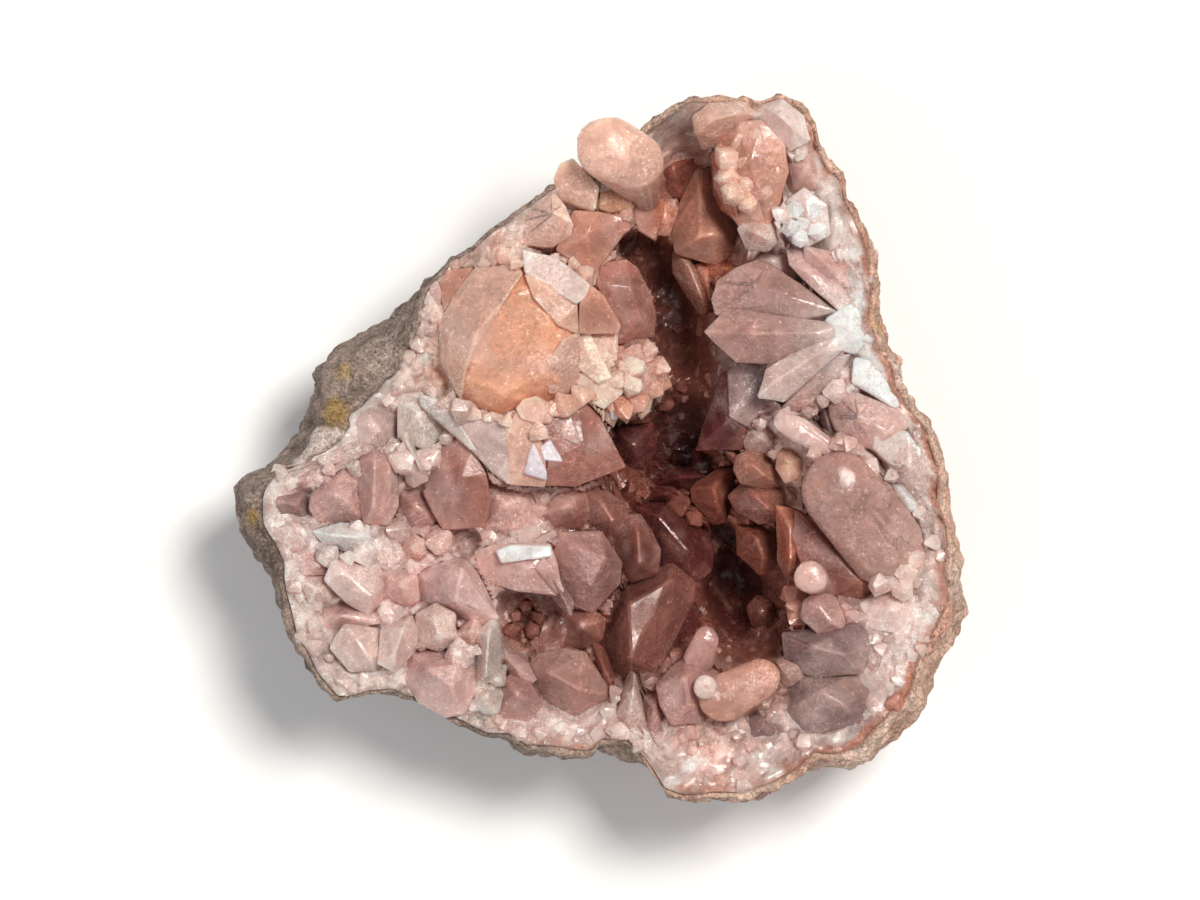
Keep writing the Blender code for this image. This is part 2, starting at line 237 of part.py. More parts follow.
# Crystals given by their corners, each with its own height; then where the root is, if it leans.
FACED = (
    # North-west edge.
    ("stub",
     ((-3.0, 32.1, 33.0), (-4.5, 31.5, 32.0), (-5.2, 29.8, 31.0), (-4.8, 27.4, 31.6), (-0.4, 26.3, 33.8),
      (0.0, 28.9, 34.4), (-1.9, 30.6, 34.6))),
    ("brow",
     ((-9.8, 25.0, 30.6), (-8.6, 26.9, 30.8), (-6.4, 27.9, 31.8), (-5.2, 28.4, 32.4), (-3.8, 26.8, 33.6),
      (-2.9, 24.6, 33.9), (-3.2, 23.6, 33.2), (-5.2, 22.2, 32.0), (-9.4, 22.6, 30.4), (-5.2, 26.0, 34.2))),
    ("wedge",
     ((-3.0, 26.3, 32.6), (-0.4, 26.2, 32.8), (2.9, 25.6, 31.8), (3.3, 24.4, 31.2), (1.5, 23.3, 31.0),
      (0.1, 20.6, 31.0), (-0.8, 19.2, 31.2), (-5.0, 21.9, 32.2), (-1.4, 23.6, 33.7))),
    ("mist",
     ((3.6, 26.6, 28.2), (4.6, 28.3, 28.6), (7.2, 27.6, 27.4), (7.0, 26.2, 27.0), (6.2, 23.0, 26.0),
      (4.2, 24.2, 27.4))),
    # The great crystal: its body, its left face, its right edge and the slab across its top.
    ("ember",
     ((-13.6, 19.9, 31.8), (-17.7, 13.6, 30.8), (-17.4, 9.5, 30.3), (-15.2, 5.0, 30.5), (-11.0, 3.9, 31.0),
      (-6.5, 5.0, 31.6), (-3.0, 6.4, 32.0), (-2.4, 11.0, 33.5), (-2.4, 15.8, 35.0), (-5.0, 18.6, 35.0),
      (-9.0, 20.2, 33.5), (-13.6, 12.4, 35.4), (-9.6, 17.2, 36.2), (-5.6, 14.5, 36.2), (-5.6, 8.2, 35.0),
      (-10.5, 6.0, 34.4), (-14.4, 7.6, 34.2))),
    ("ember face",
     ((-17.9, 13.5, 31.3), (-16.3, 17.0, 31.7), (-13.7, 20.1, 32.3), (-9.0, 20.4, 33.7), (-8.4, 19.4, 35.4),
      (-10.0, 17.0, 36.6), (-13.6, 12.6, 35.9), (-14.8, 8.6, 34.6), (-15.4, 5.2, 31.5), (-17.6, 9.5, 30.7))),
    ("ember edge",
     ((-5.7, 6.0, 33.2), (-5.8, 9.5, 35.5), (-4.0, 12.2, 36.2), (-2.2, 13.0, 34.6), (-2.2, 8.0, 33.0),
      (-3.0, 6.2, 32.2))),
    ("cap",
     ((-8.5, 21.9, 35.4), (-5.0, 21.1, 36.4), (-3.2, 19.9, 36.9), (-1.0, 18.0, 37.3), (-1.6, 16.6, 37.1),
      (-2.6, 15.8, 36.9), (-4.2, 16.8, 36.8), (-4.8, 18.3, 36.8), (-8.3, 19.4, 35.8))),
    ("cap foot",
     ((-1.1, 18.1, 36.9), (0.4, 16.9, 36.4), (2.4, 13.6, 34.4), (2.0, 12.7, 34.0), (-2.4, 12.7, 34.8),
      (-2.3, 16.0, 36.7))),
    ("shield",
     ((0.1, 20.6, 30.0), (2.9, 21.1, 29.4), (4.2, 20.2, 29.0), (5.7, 17.4, 28.4), (6.3, 14.9, 28.0),
      (6.1, 12.4, 27.8), (2.0, 11.6, 29.6), (-0.4, 18.4, 31.2), (3.4, 18.0, 31.0), (4.4, 14.5, 30.4)),
     (1.0, 15.0, 15.0)),
    ("ledge",
     ((-18.0, 18.2, 30.8), (-16.8, 19.8, 31.2), (-13.9, 20.2, 32.0), (-15.6, 17.6, 31.8),
      (-17.2, 15.0, 31.2))),
    # The broad kite over the middle of the hollow, and what adjoins it.
    ("prow",
     ((0.1, 3.7, 30.8), (3.0, -1.9, 29.8), (-2.6, -4.1, 30.0), (-6.0, -4.0, 31.0), (-5.6, -1.3, 33.2),
      (-6.6, 2.6, 33.3), (-4.0, 5.2, 32.6), (-2.0, 5.9, 31.8), (-2.0, 0.6, 32.9)),
     (-7.0, 0.0, 18.0)),
    ("prow side",
     ((-5.9, -1.2, 33.4), (-6.8, 2.8, 33.5), (-9.2, 4.4, 33.0), (-10.4, 2.4, 33.0), (-10.0, -3.9, 30.8),
      (-6.0, -4.2, 31.0), (-5.8, -3.4, 31.6)),
     (-8.0, 0.0, 18.0)),
    ("bench",
     ((-15.8, 3.0, 31.2), (-13.6, 3.5, 31.8), (-10.3, 2.9, 32.6), (-9.2, 0.2, 32.6), (-10.0, -3.9, 30.8),
      (-12.0, -2.4, 30.4), (-14.2, 0.0, 30.6))),
    ("smoke",
     ((-17.2, 1.0, 28.2), (-15.2, 1.6, 29.2), (-14.0, 0.2, 29.6), (-12.4, -2.6, 29.6), (-12.0, -5.8, 29.0),
      (-12.6, -8.6, 28.4), (-17.4, -8.9, 27.6), (-19.6, -4.8, 27.0), (-18.6, -2.0, 27.4),
      (-15.4, -3.0, 30.2))),
    ("hood",
     ((-14.0, -11.2, 27.6), (-11.9, -10.3, 28.6), (-5.4, -10.2, 29.6), (-4.6, -12.6, 29.6),
      (-4.0, -16.2, 28.2), (-6.0, -15.8, 28.6), (-9.2, -15.6, 28.0), (-13.0, -14.6, 27.0),
      (-8.0, -13.0, 30.4))),
    # The cluster beside the great crystal, its tips hanging over the hollow.
    ("posy back",
     ((-1.6, 12.5, 32.4), (1.9, 12.3, 32.2), (1.9, 9.8, 33.0), (0.6, 9.3, 33.2), (-1.2, 9.8, 33.4))),
    ("posy side",
     ((2.3, 10.9, 31.6), (3.6, 11.6, 31.4), (6.1, 11.9, 30.8), (5.9, 9.8, 31.6), (4.0, 9.0, 32.4),
      (2.3, 9.6, 32.4))),
    ("posy front",
     ((-2.6, 12.4, 33.0), (-1.2, 12.2, 33.2), (-0.8, 9.6, 34.0), (0.8, 9.2, 33.8), (1.4, 7.9, 33.6),
      (-0.2, 7.2, 33.6), (-2.6, 9.0, 33.2))),
    ("posy east",
     ((3.8, 9.9, 32.0), (7.1, 9.6, 30.6), (8.0, 7.0, 30.0), (6.9, 6.4, 30.2), (4.4, 5.8, 31.2),
      (4.2, 8.0, 32.4))),
    ("posy west",
     ((-3.2, 8.6, 32.6), (-0.6, 8.2, 33.2), (2.4, 7.8, 32.8), (2.6, 6.2, 32.2), (0.4, 4.3, 31.6),
      (-2.2, 5.9, 32.2))),
    ("posy middle",
     ((2.0, 9.9, 32.6), (4.4, 9.6, 32.6), (4.8, 6.4, 32.0), (3.0, 5.6, 31.8), (1.8, 7.4, 32.8))),
    ("second tip",
     ((0.6, 4.6, 30.8), (2.2, 3.8, 30.2), (1.5, 2.2, 28.6), (0.4, 3.2, 29.6)),
     (2.6, 8.0, 22.0)),
    ("third tip",
     ((2.0, 6.0, 31.2), (3.9, 5.2, 30.8), (3.6, 3.6, 29.6), (2.9, 2.6, 28.6), (2.2, 3.8, 29.8)),
     (2.6, 8.0, 22.0)),
    ("fourth tip",
     ((3.8, 6.4, 31.0), (6.0, 6.0, 30.4), (5.6, 4.2, 29.6), (4.6, 3.1, 28.8), (3.8, 4.4, 30.0)),
     (3.2, 8.0, 22.0)),
    # The fan of points on the east wall, spread from one root.
    ("fan middle",
     ((11.2, 13.0, 31.0), (13.8, 15.7, 31.0), (16.0, 15.4, 31.4), (22.0, 14.4, 32.0), (27.0, 13.8, 32.4),
      (26.4, 11.6, 32.0), (20.2, 10.1, 31.0), (18.6, 9.4, 30.6), (15.0, 9.5, 30.4), (12.6, 11.6, 30.6),
      (17.0, 12.8, 33.2), (24.0, 12.8, 33.4)),
     (26.5, 12.5, 26.0)),
    ("fan upper",
     ((12.1, 16.6, 29.2), (12.7, 18.7, 29.2), (14.8, 20.2, 29.4), (17.2, 21.0, 29.8), (18.6, 20.6, 30.2),
      (22.4, 18.0, 31.2), (26.0, 15.2, 32.0), (22.0, 14.2, 31.4), (14.2, 15.0, 30.4), (12.5, 14.8, 29.8),
      (17.0, 18.2, 31.6), (22.0, 16.4, 32.4)),
     (26.0, 14.5, 25.0)),
    ("fan top",
     ((20.3, 22.4, 29.6), (22.4, 22.0, 30.0), (24.8, 20.0, 31.0), (27.7, 16.6, 32.0), (26.4, 15.0, 32.2),
      (23.2, 17.8, 31.8), (20.6, 20.4, 30.4), (23.0, 19.6, 32.2)),
     (28.0, 15.0, 27.0)),
    ("fan lower",
     ((17.1, 5.6, 30.2), (18.1, 8.9, 30.6), (20.0, 10.1, 31.2), (23.4, 12.0, 32.0), (26.4, 12.6, 32.6),
      (26.8, 11.0, 32.4), (23.6, 8.2, 31.2), (20.2, 5.1, 30.0), (19.6, 7.8, 32.0), (24.6, 11.0, 33.1)),
     (27.0, 12.0, 26.0)),
    ("fan foot",
     ((19.8, 4.6, 28.8), (22.0, 6.4, 30.2), (25.6, 10.4, 31.8), (27.6, 10.6, 32.0), (26.2, 8.0, 31.0),
      (23.2, 5.0, 29.6), (21.5, 3.9, 28.6)),
     (27.0, 9.0, 26.0)),
    ("star",
     ((24.8, 14.6, 32.2), (27.4, 16.2, 32.4), (29.2, 15.2, 32.4), (29.6, 12.2, 32.4), (28.2, 10.4, 32.2),
      (25.4, 11.2, 32.2), (27.4, 13.2, 33.6))),
    ("drift",
     ((27.8, 10.2, 31.8), (31.0, 10.8, 32.4), (33.0, 7.6, 32.4), (34.6, 4.8, 32.0), (32.6, 4.6, 32.4),
      (30.2, 6.4, 32.4), (27.6, 7.4, 31.8))),
    # The obelisk under the fan, and the broad forms of the east bank.
    ("obelisk",
     ((13.4, 8.8, 24.0), (15.2, 9.6, 25.0), (17.4, 6.0, 25.4), (16.2, 2.2, 25.0), (15.9, -0.1, 23.8),
      (10.5, -0.1, 22.0), (11.9, 3.6, 23.0), (14.3, 3.4, 25.8)),
     (15.8, 4.0, 13.0)),
    ("obelisk veil",
     ((14.0, 8.9, 25.2), (15.6, 9.7, 25.6), (18.1, 9.3, 26.0), (17.4, 6.0, 26.2), (18.8, 5.2, 26.0),
      (16.4, 2.4, 25.6), (14.2, 3.6, 26.2)),
     (16.8, 6.0, 13.0)),
    ("saddle",
     ((25.1, 5.0, 29.6), (25.8, 6.5, 30.4), (28.0, 6.6, 31.4), (30.4, 5.2, 32.0), (33.6, 4.2, 32.0),
      (34.0, 2.4, 32.0), (30.2, -0.2, 31.6), (28.6, 0.4, 30.8), (26.0, 2.0, 29.8), (25.2, 3.6, 29.4),
      (28.4, 3.6, 32.8), (31.6, 1.8, 33.2))),
    ("thumb body",
     ((22.8, -6.6, 30.4), (24.6, -1.4, 32.4), (29.0, -0.9, 32.4), (32.0, -3.8, 32.4), (35.4, -8.6, 31.6),
      (36.2, -12.0, 30.4), (32.6, -14.4, 29.6), (27.6, -10.8, 30.2), (28.0, -4.6, 34.5),
      (32.4, -9.4, 33.4))),
    ("berry lump",
     ((12.3, 32.4, 30.0), (13.0, 34.6, 31.5), (14.8, 36.2, 33.2), (17.8, 36.3, 33.6), (20.4, 33.6, 33.6),
      (20.8, 30.6, 33.4), (19.8, 27.0, 32.8), (18.6, 24.4, 31.8), (16.0, 23.4, 30.8), (14.0, 26.2, 30.2),
      (12.6, 29.4, 29.8), (16.4, 31.8, 34.8), (17.6, 27.8, 34.0))),
    ("rime lump",
     ((20.0, 24.0, 31.6), (20.4, 27.6, 33.0), (22.4, 28.9, 33.4), (25.0, 27.0, 33.4), (25.4, 23.6, 32.8),
      (22.8, 22.2, 32.0), (22.8, 25.6, 34.2))),
)

# Crystals worn round: name, then the balls (x, y, z, radius) that the form is stretched over.
PEBBLES = (
    ("globe", ((0.9, 32.9, 36.2, 3.6), (3.9, 31.5, 35.6, 3.1), (4.2, 28.6, 28.0, 2.7))),
    ("thumb", ((26.0, -4.3, 30.8, 4.1), (28.0, -6.0, 30.8, 4.1), (29.0, -7.0, 26.0, 3.5))),
    ("pencil", ((20.2, 3.0, 29.8, 1.2), (21.8, 2.2, 30.0, 1.5), (24.6, 0.5, 29.8, 1.2))),
    ("bud", ((23.1, -14.0, 30.6, 1.8), (24.2, -14.6, 24.0, 1.6))),
    ("knee", ((13.6, -27.2, 29.0, 2.8), (17.4, -25.2, 29.5, 2.3), (16.0, -28.0, 22.0, 1.8))),
    ("lozenge", ((11.6, -26.0, 31.5, 1.3), (11.8, -27.0, 24.0, 1.3))),
    ("horn", ((11.8, -20.8, 27.5, 1.4), (11.0, -23.0, 26.5, 1.7), (10.5, -25.0, 20.0, 1.6))),
    ("north bead", ((19.8, -15.4, 26.0, 0.9), (22.6, -15.4, 23.0, 1.1))),
    ("middle bead", ((20.5, -17.0, 27.0, 1.0), (23.0, -17.0, 23.5, 1.2))),
    ("south bead", ((20.6, -19.0, 28.0, 1.1), (23.4, -19.0, 23.5, 1.3))),
)

# Rosettes of small points: name, root, width of a point, height of the tips, and where the tips are.
ROSETTES = (
    ("berry", (16.6, 30.4, 26.0), 3.0, 34.6,
     ((13.2, 32.4), (13.4, 29.8), (14.2, 27.6), (15.2, 34.6), (17.2, 35.2), (16.0, 32.0), (18.6, 33.0),
      (19.6, 30.8), (16.2, 29.0), (18.4, 28.2), (16.4, 26.4))),
    ("rime", (22.4, 25.4, 27.0), 2.2, 34.6,
     ((20.6, 24.2), (21.2, 26.6), (22.6, 28.0), (22.6, 25.0), (23.8, 26.4), (21.8, 22.8), (24.2, 23.8))),
)

ROOT_DEPTH = 4.0  # depth of its root below its shoulder, where it doesn't lean
ROOT_TAPER = 0.8  # width of a large crystal at its root, as a share of that at its shoulder
SMALL_CRYSTALS = 28  # points scattered over what the large ones leave bare
SCATTER_SEED = 7

RIND_COLOUR = (0.36, 0.27, 0.21, 1.0)
CRYSTAL_COLOUR = (0.80, 0.52, 0.44, 1.0)


# ---------------------------------------------------------------- the nodule's form


def around(table):
    """Headings in degrees and values of a closed table, sorted for interpolation."""
    rows = sorted((heading % 360, value) for heading, value in table)
    return [row[0] for row in rows], [row[1] for row in rows]


REACH = around((math.degrees(math.atan2(y, x)), math.hypot(x, y)) for x, y in OUTLINE)
BARE = around(BARE_ROCK)


def socket(outline, shoulder):
    """Where a large crystal holds the lining down: the middle of its outline, its radius, its shoulder."""
    x = sum(place[0] for place in outline) / len(outline)
    y = sum(place[1] for place in outline) / len(outline)
    radius = sum(math.hypot(place[0] - x, place[1] - y) for place in outline) / len(outline)
    return x, y, radius, shoulder


SOCKETS = [socket(row[3], row[1]) for row in CRYSTALS]
SOCKETS += [socket(row[1], min(corner[2] for corner in row[1])) for row in FACED]


def reach(heading, blur=0.0):
    """Distance from the middle to the outline, averaged over this many degrees to either side."""
    places = (heading + blur * step for step in (-1, -0.6, -0.2, 0.2, 0.6, 1))
    return float(np.mean([np.interp(place % 360, *REACH, period=360) for place in places]))


def bare(heading):
    """Width of the bare rock inside the outline."""
    return float(np.interp(heading % 360, *BARE, period=360))


def rim_height(heading):
    jag = RIM_JAG * lump(point(heading, 35.0, 0.0))
    return RIM_MEAN + RIM_SWING * math.cos(math.radians(heading - RIM_HIGH_SIDE)) + jag


def point(heading, radius, height):
    angle = math.radians(heading)
    return Vector((radius * math.cos(angle), radius * math.sin(angle), height))


def lump(place, size=9.0):
    """Roughness of the rock at a place, from about -1 to 1, with bumps about this wide."""
    return noise.noise(place / size) + 0.5 * noise.noise(place / (0.4 * size))


def outside(heading, rise):
    """A point on the outer skin: rise is 0 in the middle of the foot, 1 at the belt and 2 at the edge."""
    width = reach(heading, FOOT_BLUR * max(0.0, 1 - rise))
    if rise <= 1:
        turn = rise * math.pi / 2
        radius = width * math.sin(turn) ** 0.75
        height = (BELT_HEIGHT + FOOT_CUT) * (1 - math.cos(turn)) - FOOT_CUT
    else:
        climb = rise - 1
        slope = max(bare(heading) - LIP_WIDTH, 0.15 * bare(heading))
        radius = width - slope * climb**2
        height = BELT_HEIGHT + (rim_height(heading) - BELT_HEIGHT) * climb
    place = point(heading, radius, height)
    bulge = LUMP * lump(place, 13.0)
    if rise > 1:
        bulge = -abs(bulge)
    place += point(heading, 1.0, min(0.0, rise - 1)) * bulge * abs(math.sin(math.pi * rise))
    place.z = max(place.z, 0.0)
    return place


def bowl(heading, share, gap=0.0):
    """A point on the inner wall, moved inwards by gap: share is 0 at its middle and 1 at its edge."""
    radius = (reach(heading) - bare(heading) - gap) * share
    drop = 1 - math.sqrt(max(0.0, 1 - share**4))
    top = rim_height(heading)
    floor = FLOOR_THICKNESS + gap
    return point(heading, radius, floor + (top - floor) * drop)


def swell(x, y, form):
    """How strongly a hollow or a rise acts at a place, from 0 to its depth."""
    centre_x, centre_y, half_length, half_width, heading, depth = form
    turn = math.radians(heading)
    across_x, across_y = x - centre_x, y - centre_y
    along = (across_x * math.cos(turn) + across_y * math.sin(turn)) / half_length
    aside = (across_y * math.cos(turn) - across_x * math.sin(turn)) / half_width
    return depth * math.exp(-((along**2 + aside**2) ** 1.5))


def lining(x, y):
    """Height of the crust's upper surface between its crystals."""
    heading = math.degrees(math.atan2(y, x))
    edge = reach(heading) - bare(heading) - SEAM
    share = min(1.0, math.hypot(x, y) / edge)
    height = RIM_MEAN + (rim_height(heading) - RIM_MEAN) * share**2 - SAG * (1 - share**4)
    height -= sum(swell(x, y, form) for form in HOLLOWS.values()) * (1 - share**6)
    height += sum(swell(x, y, form) for form in RISES.values()) * (1 - share**6)
    height += 0.8 * lump(Vector((x, y, 3.0)), 5.0) * (1 - share**6)
    for centre_x, centre_y, radius, shoulder in SOCKETS:
        beyond = max(0.0, math.hypot(x - centre_x, y - centre_y) - 0.7 * radius)
        height = min(height, shoulder - SOCKET_DEPTH + SOCKET_SLOPE * beyond)
    height += (rim_height(heading) - height) * share**14
    return max(height, bowl(heading, min(share, 0.999), SEAM).z + CRUST_THINNEST * (1 - share**8))


# ---------------------------------------------------------------- meshes


def loft(rings, first, last):
    """A closed mesh through rings of vertices, with a single point at each end."""
    mesh = bmesh.new()
    loops = [[mesh.verts.new(place * MM) for place in ring] for ring in rings]
    count = len(loops[0])
    for lower, upper in zip(loops, loops[1:]):
        for i in range(count):
            j = (i + 1) % count
            mesh.faces.new((lower[i], lower[j], upper[j], upper[i]))
    for ring, end in ((loops[0], first), (loops[-1], last)):
        tip = mesh.verts.new(end * MM)
        for i in range(count):
            mesh.faces.new((ring[i], ring[(i + 1) % count], tip))
    bmesh.ops.recalc_face_normals(mesh, faces=mesh.faces)
    return mesh


def material(name, colour, roughness):
    made = bpy.data.materials.new(name)
    made.use_nodes = True
    shader = made.node_tree.nodes["Principled BSDF"]
    shader.inputs["Base Color"].default_value = colour
    shader.inputs["Roughness"].default_value = roughness
    return made


def add_object(name, mesh, finish=None, guide=None):
    """Links a finished bmesh as an object. A guide goes in the given collection and isn't rendered."""
    data = bpy.data.meshes.new(name)
    mesh.to_mesh(data)
    mesh.free()
    made = bpy.data.objects.new(name, data)
    (guide or bpy.context.scene.collection).objects.link(made)
    if finish:
        data.materials.append(finish)
    if guide:
        made.hide_render = True
        made.display_type = "WIRE"
    return made


def build_rind():
    """The bowl of rock: foot, outer skin, broken lip and inner wall."""
    headings = [360 * i / HEADINGS for i in range(HEADINGS)]
    rises = [0.22, 0.36, 0.5, 0.64, 0.78, 0.9, 1.0, 1.33, 1.67, 2.0]
    rings = [[outside(heading, rise) for heading in headings] for rise in rises]
    rings += [[bowl(heading, share) for heading in headings] for share in BOWL_SHARES]
    middle = Vector((0, 0, FLOOR_THICKNESS))
    return loft(rings, Vector((0, 0, 0)), middle)


def build_lining():
    """The crust without its crystals. It reaches into the rind, to be trimmed by rind_allowance."""
    headings = [360 * i / LINING_HEADINGS for i in range(LINING_HEADINGS)]
    low = FLOOR_THICKNESS - 1.0
    rings = [[point(heading, reach(heading), low) for heading in headings]]
    for i in range(LINING_RINGS):
        ring = []
        for heading in headings:
            place = point(heading, reach(heading) * (1 - i / LINING_RINGS), 0.0)
            place.z = lining(place.x, place.y)
            ring.append(place)
        rings.append(ring)
    return loft(rings, Vector((0, 0, low)), Vector((0, 0, lining(0, 0))))


def rind_allowance():
    """A solid that holds the rind with SEAM to spare: the crust keeps out of it."""
    headings = [360 * i / HEADINGS for i in range(HEADINGS)]
    rings = []
    for height in (-9.0, None):
        ring = []
        for heading in headings:
            top = rim_height(heading) + SEAM if height is None else height
            ring.append(point(heading, reach(heading) + 9.0, top))
        rings.append(ring)
    for share in BOWL_SHARES:
        ring = [bowl(heading, share, SEAM) for heading in headings]
        if share == 1:
            for place in ring:
                place.z += SEAM
        rings.append(ring)
    return loft(rings, Vector((0, 0, -9.0)), Vector((0, 0, FLOOR_THICKNESS + SEAM)))


def hull(places):
    """The convex solid over some points."""
    mesh = bmesh.new()
    for place in places:
        mesh.verts.new(place * MM)
    done = bmesh.ops.convex_hull(mesh, input=mesh.verts)
    bmesh.ops.delete(mesh, geom=done["geom_interior"], context="VERTS")
    bmesh.ops.recalc_face_normals(mesh, faces=mesh.faces)
    return mesh


def large_crystal(shoulder, ridge, outline, root=None):
    """A crystal as the hull of its shoulder, the ridge above it and a narrower root in the crust."""
    x, y, _, _ = socket(outline, shoulder)
    centre = Vector((x, y, 0))
    root = Vector(root or (x, y, shoulder - ROOT_DEPTH))
    places = [Vector((x, y, shoulder)) for x, y in outline] + [Vector(place) for place in ridge]
    for x, y in outline[::2]:
        places.append(root + ROOT_TAPER * Vector((x - centre.x, y - centre.y, 0)))
    return hull(places)


def faced_crystal(corners, root=None):
    """A crystal as the hull of its corners and a narrower root in the crust."""
    places = [Vector(corner) for corner in corners]
    centre = sum(places, Vector()) / len(places)
    root = Vector(root or (centre.x, centre.y, min(place.z for place in places) - ROOT_DEPTH))
    for place in places[::2]:
        places.append(root + ROOT_TAPER * Vector((place.x - centre.x, place.y - centre.y, 0)))
    return hull(places)


def pebble(balls):
    """A rounded crystal: the hull of some balls."""
    places = []
    for x, y, z, radius in balls:
        ball = bmesh.new()
        bmesh.ops.create_icosphere(ball, subdivisions=2 if radius > 3 else 1, radius=radius)
        places += [vertex.co + Vector((x, y, z)) for vertex in ball.verts]
        ball.free()
    return hull(places)


def quartz_point(root, tip, width, rng):
    """A six-sided point from root to tip, its faces uneven as in real quartz."""
    axis = tip - root
    length = axis.length
    turn = axis.to_track_quat("Z", "Y").to_matrix().to_4x4()
    pose = Matrix.Translation(root) @ turn @ Matrix.Rotation(rng.uniform(0, math.pi / 3), 4, "Z")
    places = []
    taper = min(0.75 * width, 0.6 * length)
    for i in range(6):
        angle = math.radians(60 * i + rng.uniform(-7, 7))
        radius = width / 2 * rng.uniform(0.86, 1.12)
        side = Vector((radius * math.cos(angle), radius * math.sin(angle), 0))
        places.append(pose @ side)
        places.append(pose @ (side + Vector((0, 0, length - taper * rng.uniform(0.7, 1.15)))))
    places.append(pose @ Vector((0.06 * width, 0, length)))
    places.append(pose @ Vector((-0.06 * width, 0.04 * width, length)))
    return hull(places)


def scattered_points(rng):
    """Small quartz points on the bare parts of the lining, away from each other and from the edge."""
    covered = [(x, y, 0.5 + 0.9 * radius) for x, y, radius, _ in SOCKETS]
    covered += [(x, y, radius + 1.0) for _, balls in PEBBLES for x, y, _, radius in balls]
    covered += [(x, y, 2.0) for row in ROSETTES for x, y in row[4]]
    made = []
    while len(made) < SMALL_CRYSTALS:
        heading = rng.uniform(0, 360)
        share = math.sqrt(rng.uniform(0.0, 0.9))
        place = bowl(heading, share, SEAM)
        width = rng.uniform(2.4, 4.2)
        if any(math.hypot(place.x - x, place.y - y) < spread for x, y, spread in covered):
            continue
        covered.append((place.x, place.y, 0.75 * width))
        step = 0.5
        slope = Vector((lining(place.x - step, place.y) - lining(place.x + step, place.y),
                        lining(place.x, place.y - step) - lining(place.x, place.y + step), 2 * step))
        up = (slope.normalized() + Vector((0, 0, 0.5))).normalized()
        up += Vector((rng.uniform(-0.35, 0.35), rng.uniform(-0.35, 0.35), 0))
        place.z = lining(place.x, place.y)
        made.append(quartz_point(place - 1.8 * up, place + rng.uniform(0.5, 0.8) * width * up, width, rng))
    return made


def drop_sealed_gaps(made):
    """Replaces an object's modifiers by their result, without the gaps that crystals closed off."""
    graph = bpy.context.evaluated_depsgraph_get()
    data = bpy.data.meshes.new_from_object(made.evaluated_get(graph))
    mesh = bmesh.new()
    mesh.from_mesh(data)
    todo = set(mesh.verts)
    islands = []
    while todo:
        island = {todo.pop()}
        front = list(island)
        while front:
            vertex = front.pop()
            for edge in vertex.link_edges:
                other = edge.other_vert(vertex)
                if other not in island:
                    island.add(other)
                    front.append(other)
        todo -= island
        islands.append(island)
    outer = max(islands, key=len)
    for island in islands:
        if island is not outer:
            bmesh.ops.delete(mesh, geom=list(island), context="VERTS")
    mesh.to_mesh(data)
    mesh.free()
    made.modifiers.clear()
    made.data = data


def build_crust(finish):
    """The lining and all its crystals, joined in one solid."""
    guides = bpy.data.collections.new("crystals to join")
    spare = bpy.data.collections.new("trimming")
    bpy.context.scene.collection.children.link(guides)
    bpy.context.scene.collection.children.link(spare)
    crust = add_object("crystal_crust", build_lining(), finish)
    for name, shoulder, ridge, outline, *root in CRYSTALS:
        add_object(name, large_crystal(shoulder, ridge, outline, *root), guide=guides)
    for name, corners, *root in FACED:
        add_object(name, faced_crystal(corners, *root), guide=guides)
    for name, balls in PEBBLES:
        add_object(name, pebble(balls), guide=guides)
    rng = random.Random(SCATTER_SEED)
    for name, root, width, height, tips in ROSETTES:
        for x, y in tips:
            tip = Vector((x, y, height + rng.uniform(-0.8, 0.6)))
            add_object(name, quartz_point(Vector(root).lerp(tip, 0.15), tip, width, rng), guide=guides)
    for mesh in scattered_points(rng):
        add_object("small point", mesh, guide=guides)
    # The exact solver leaves open edges where this many crystals cross.
    union = crust.modifiers.new("grown together", "BOOLEAN")
    union.solver = "MANIFOLD"
    union.operation = "UNION"
    union.operand_type = "COLLECTION"
    union.collection = guides
    trim = crust.modifiers.new("room for the rind", "BOOLEAN")
    trim.solver = "MANIFOLD"
    trim.operation = "DIFFERENCE"
    trim.object = add_object("rind allowance", rind_allowance(), guide=spare)
    drop_sealed_gaps(crust)
    return crust


def main():
    for stale in list(bpy.data.objects):
        bpy.data.objects.remove(stale)
    stone = material("weathered rind", RIND_COLOUR, 0.9)
    quartz = material("pink quartz", CRYSTAL_COLOUR, 0.25)
    add_object("rind", build_rind(), stone)
    build_crust(quartz)


main()
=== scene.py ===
"""The looks of the pink amethyst geode: rough rind, crystal crust, floor and light.

Lengths in the tables are millimetres in the part's frame: the origin is under the middle of the geode and
the hollow opens towards +Z. Meshes are scaled to metres as they are made.
"""

import json
import math
import random

import bmesh
import bpy
import numpy as np
from mathutils import Matrix, Vector, noise

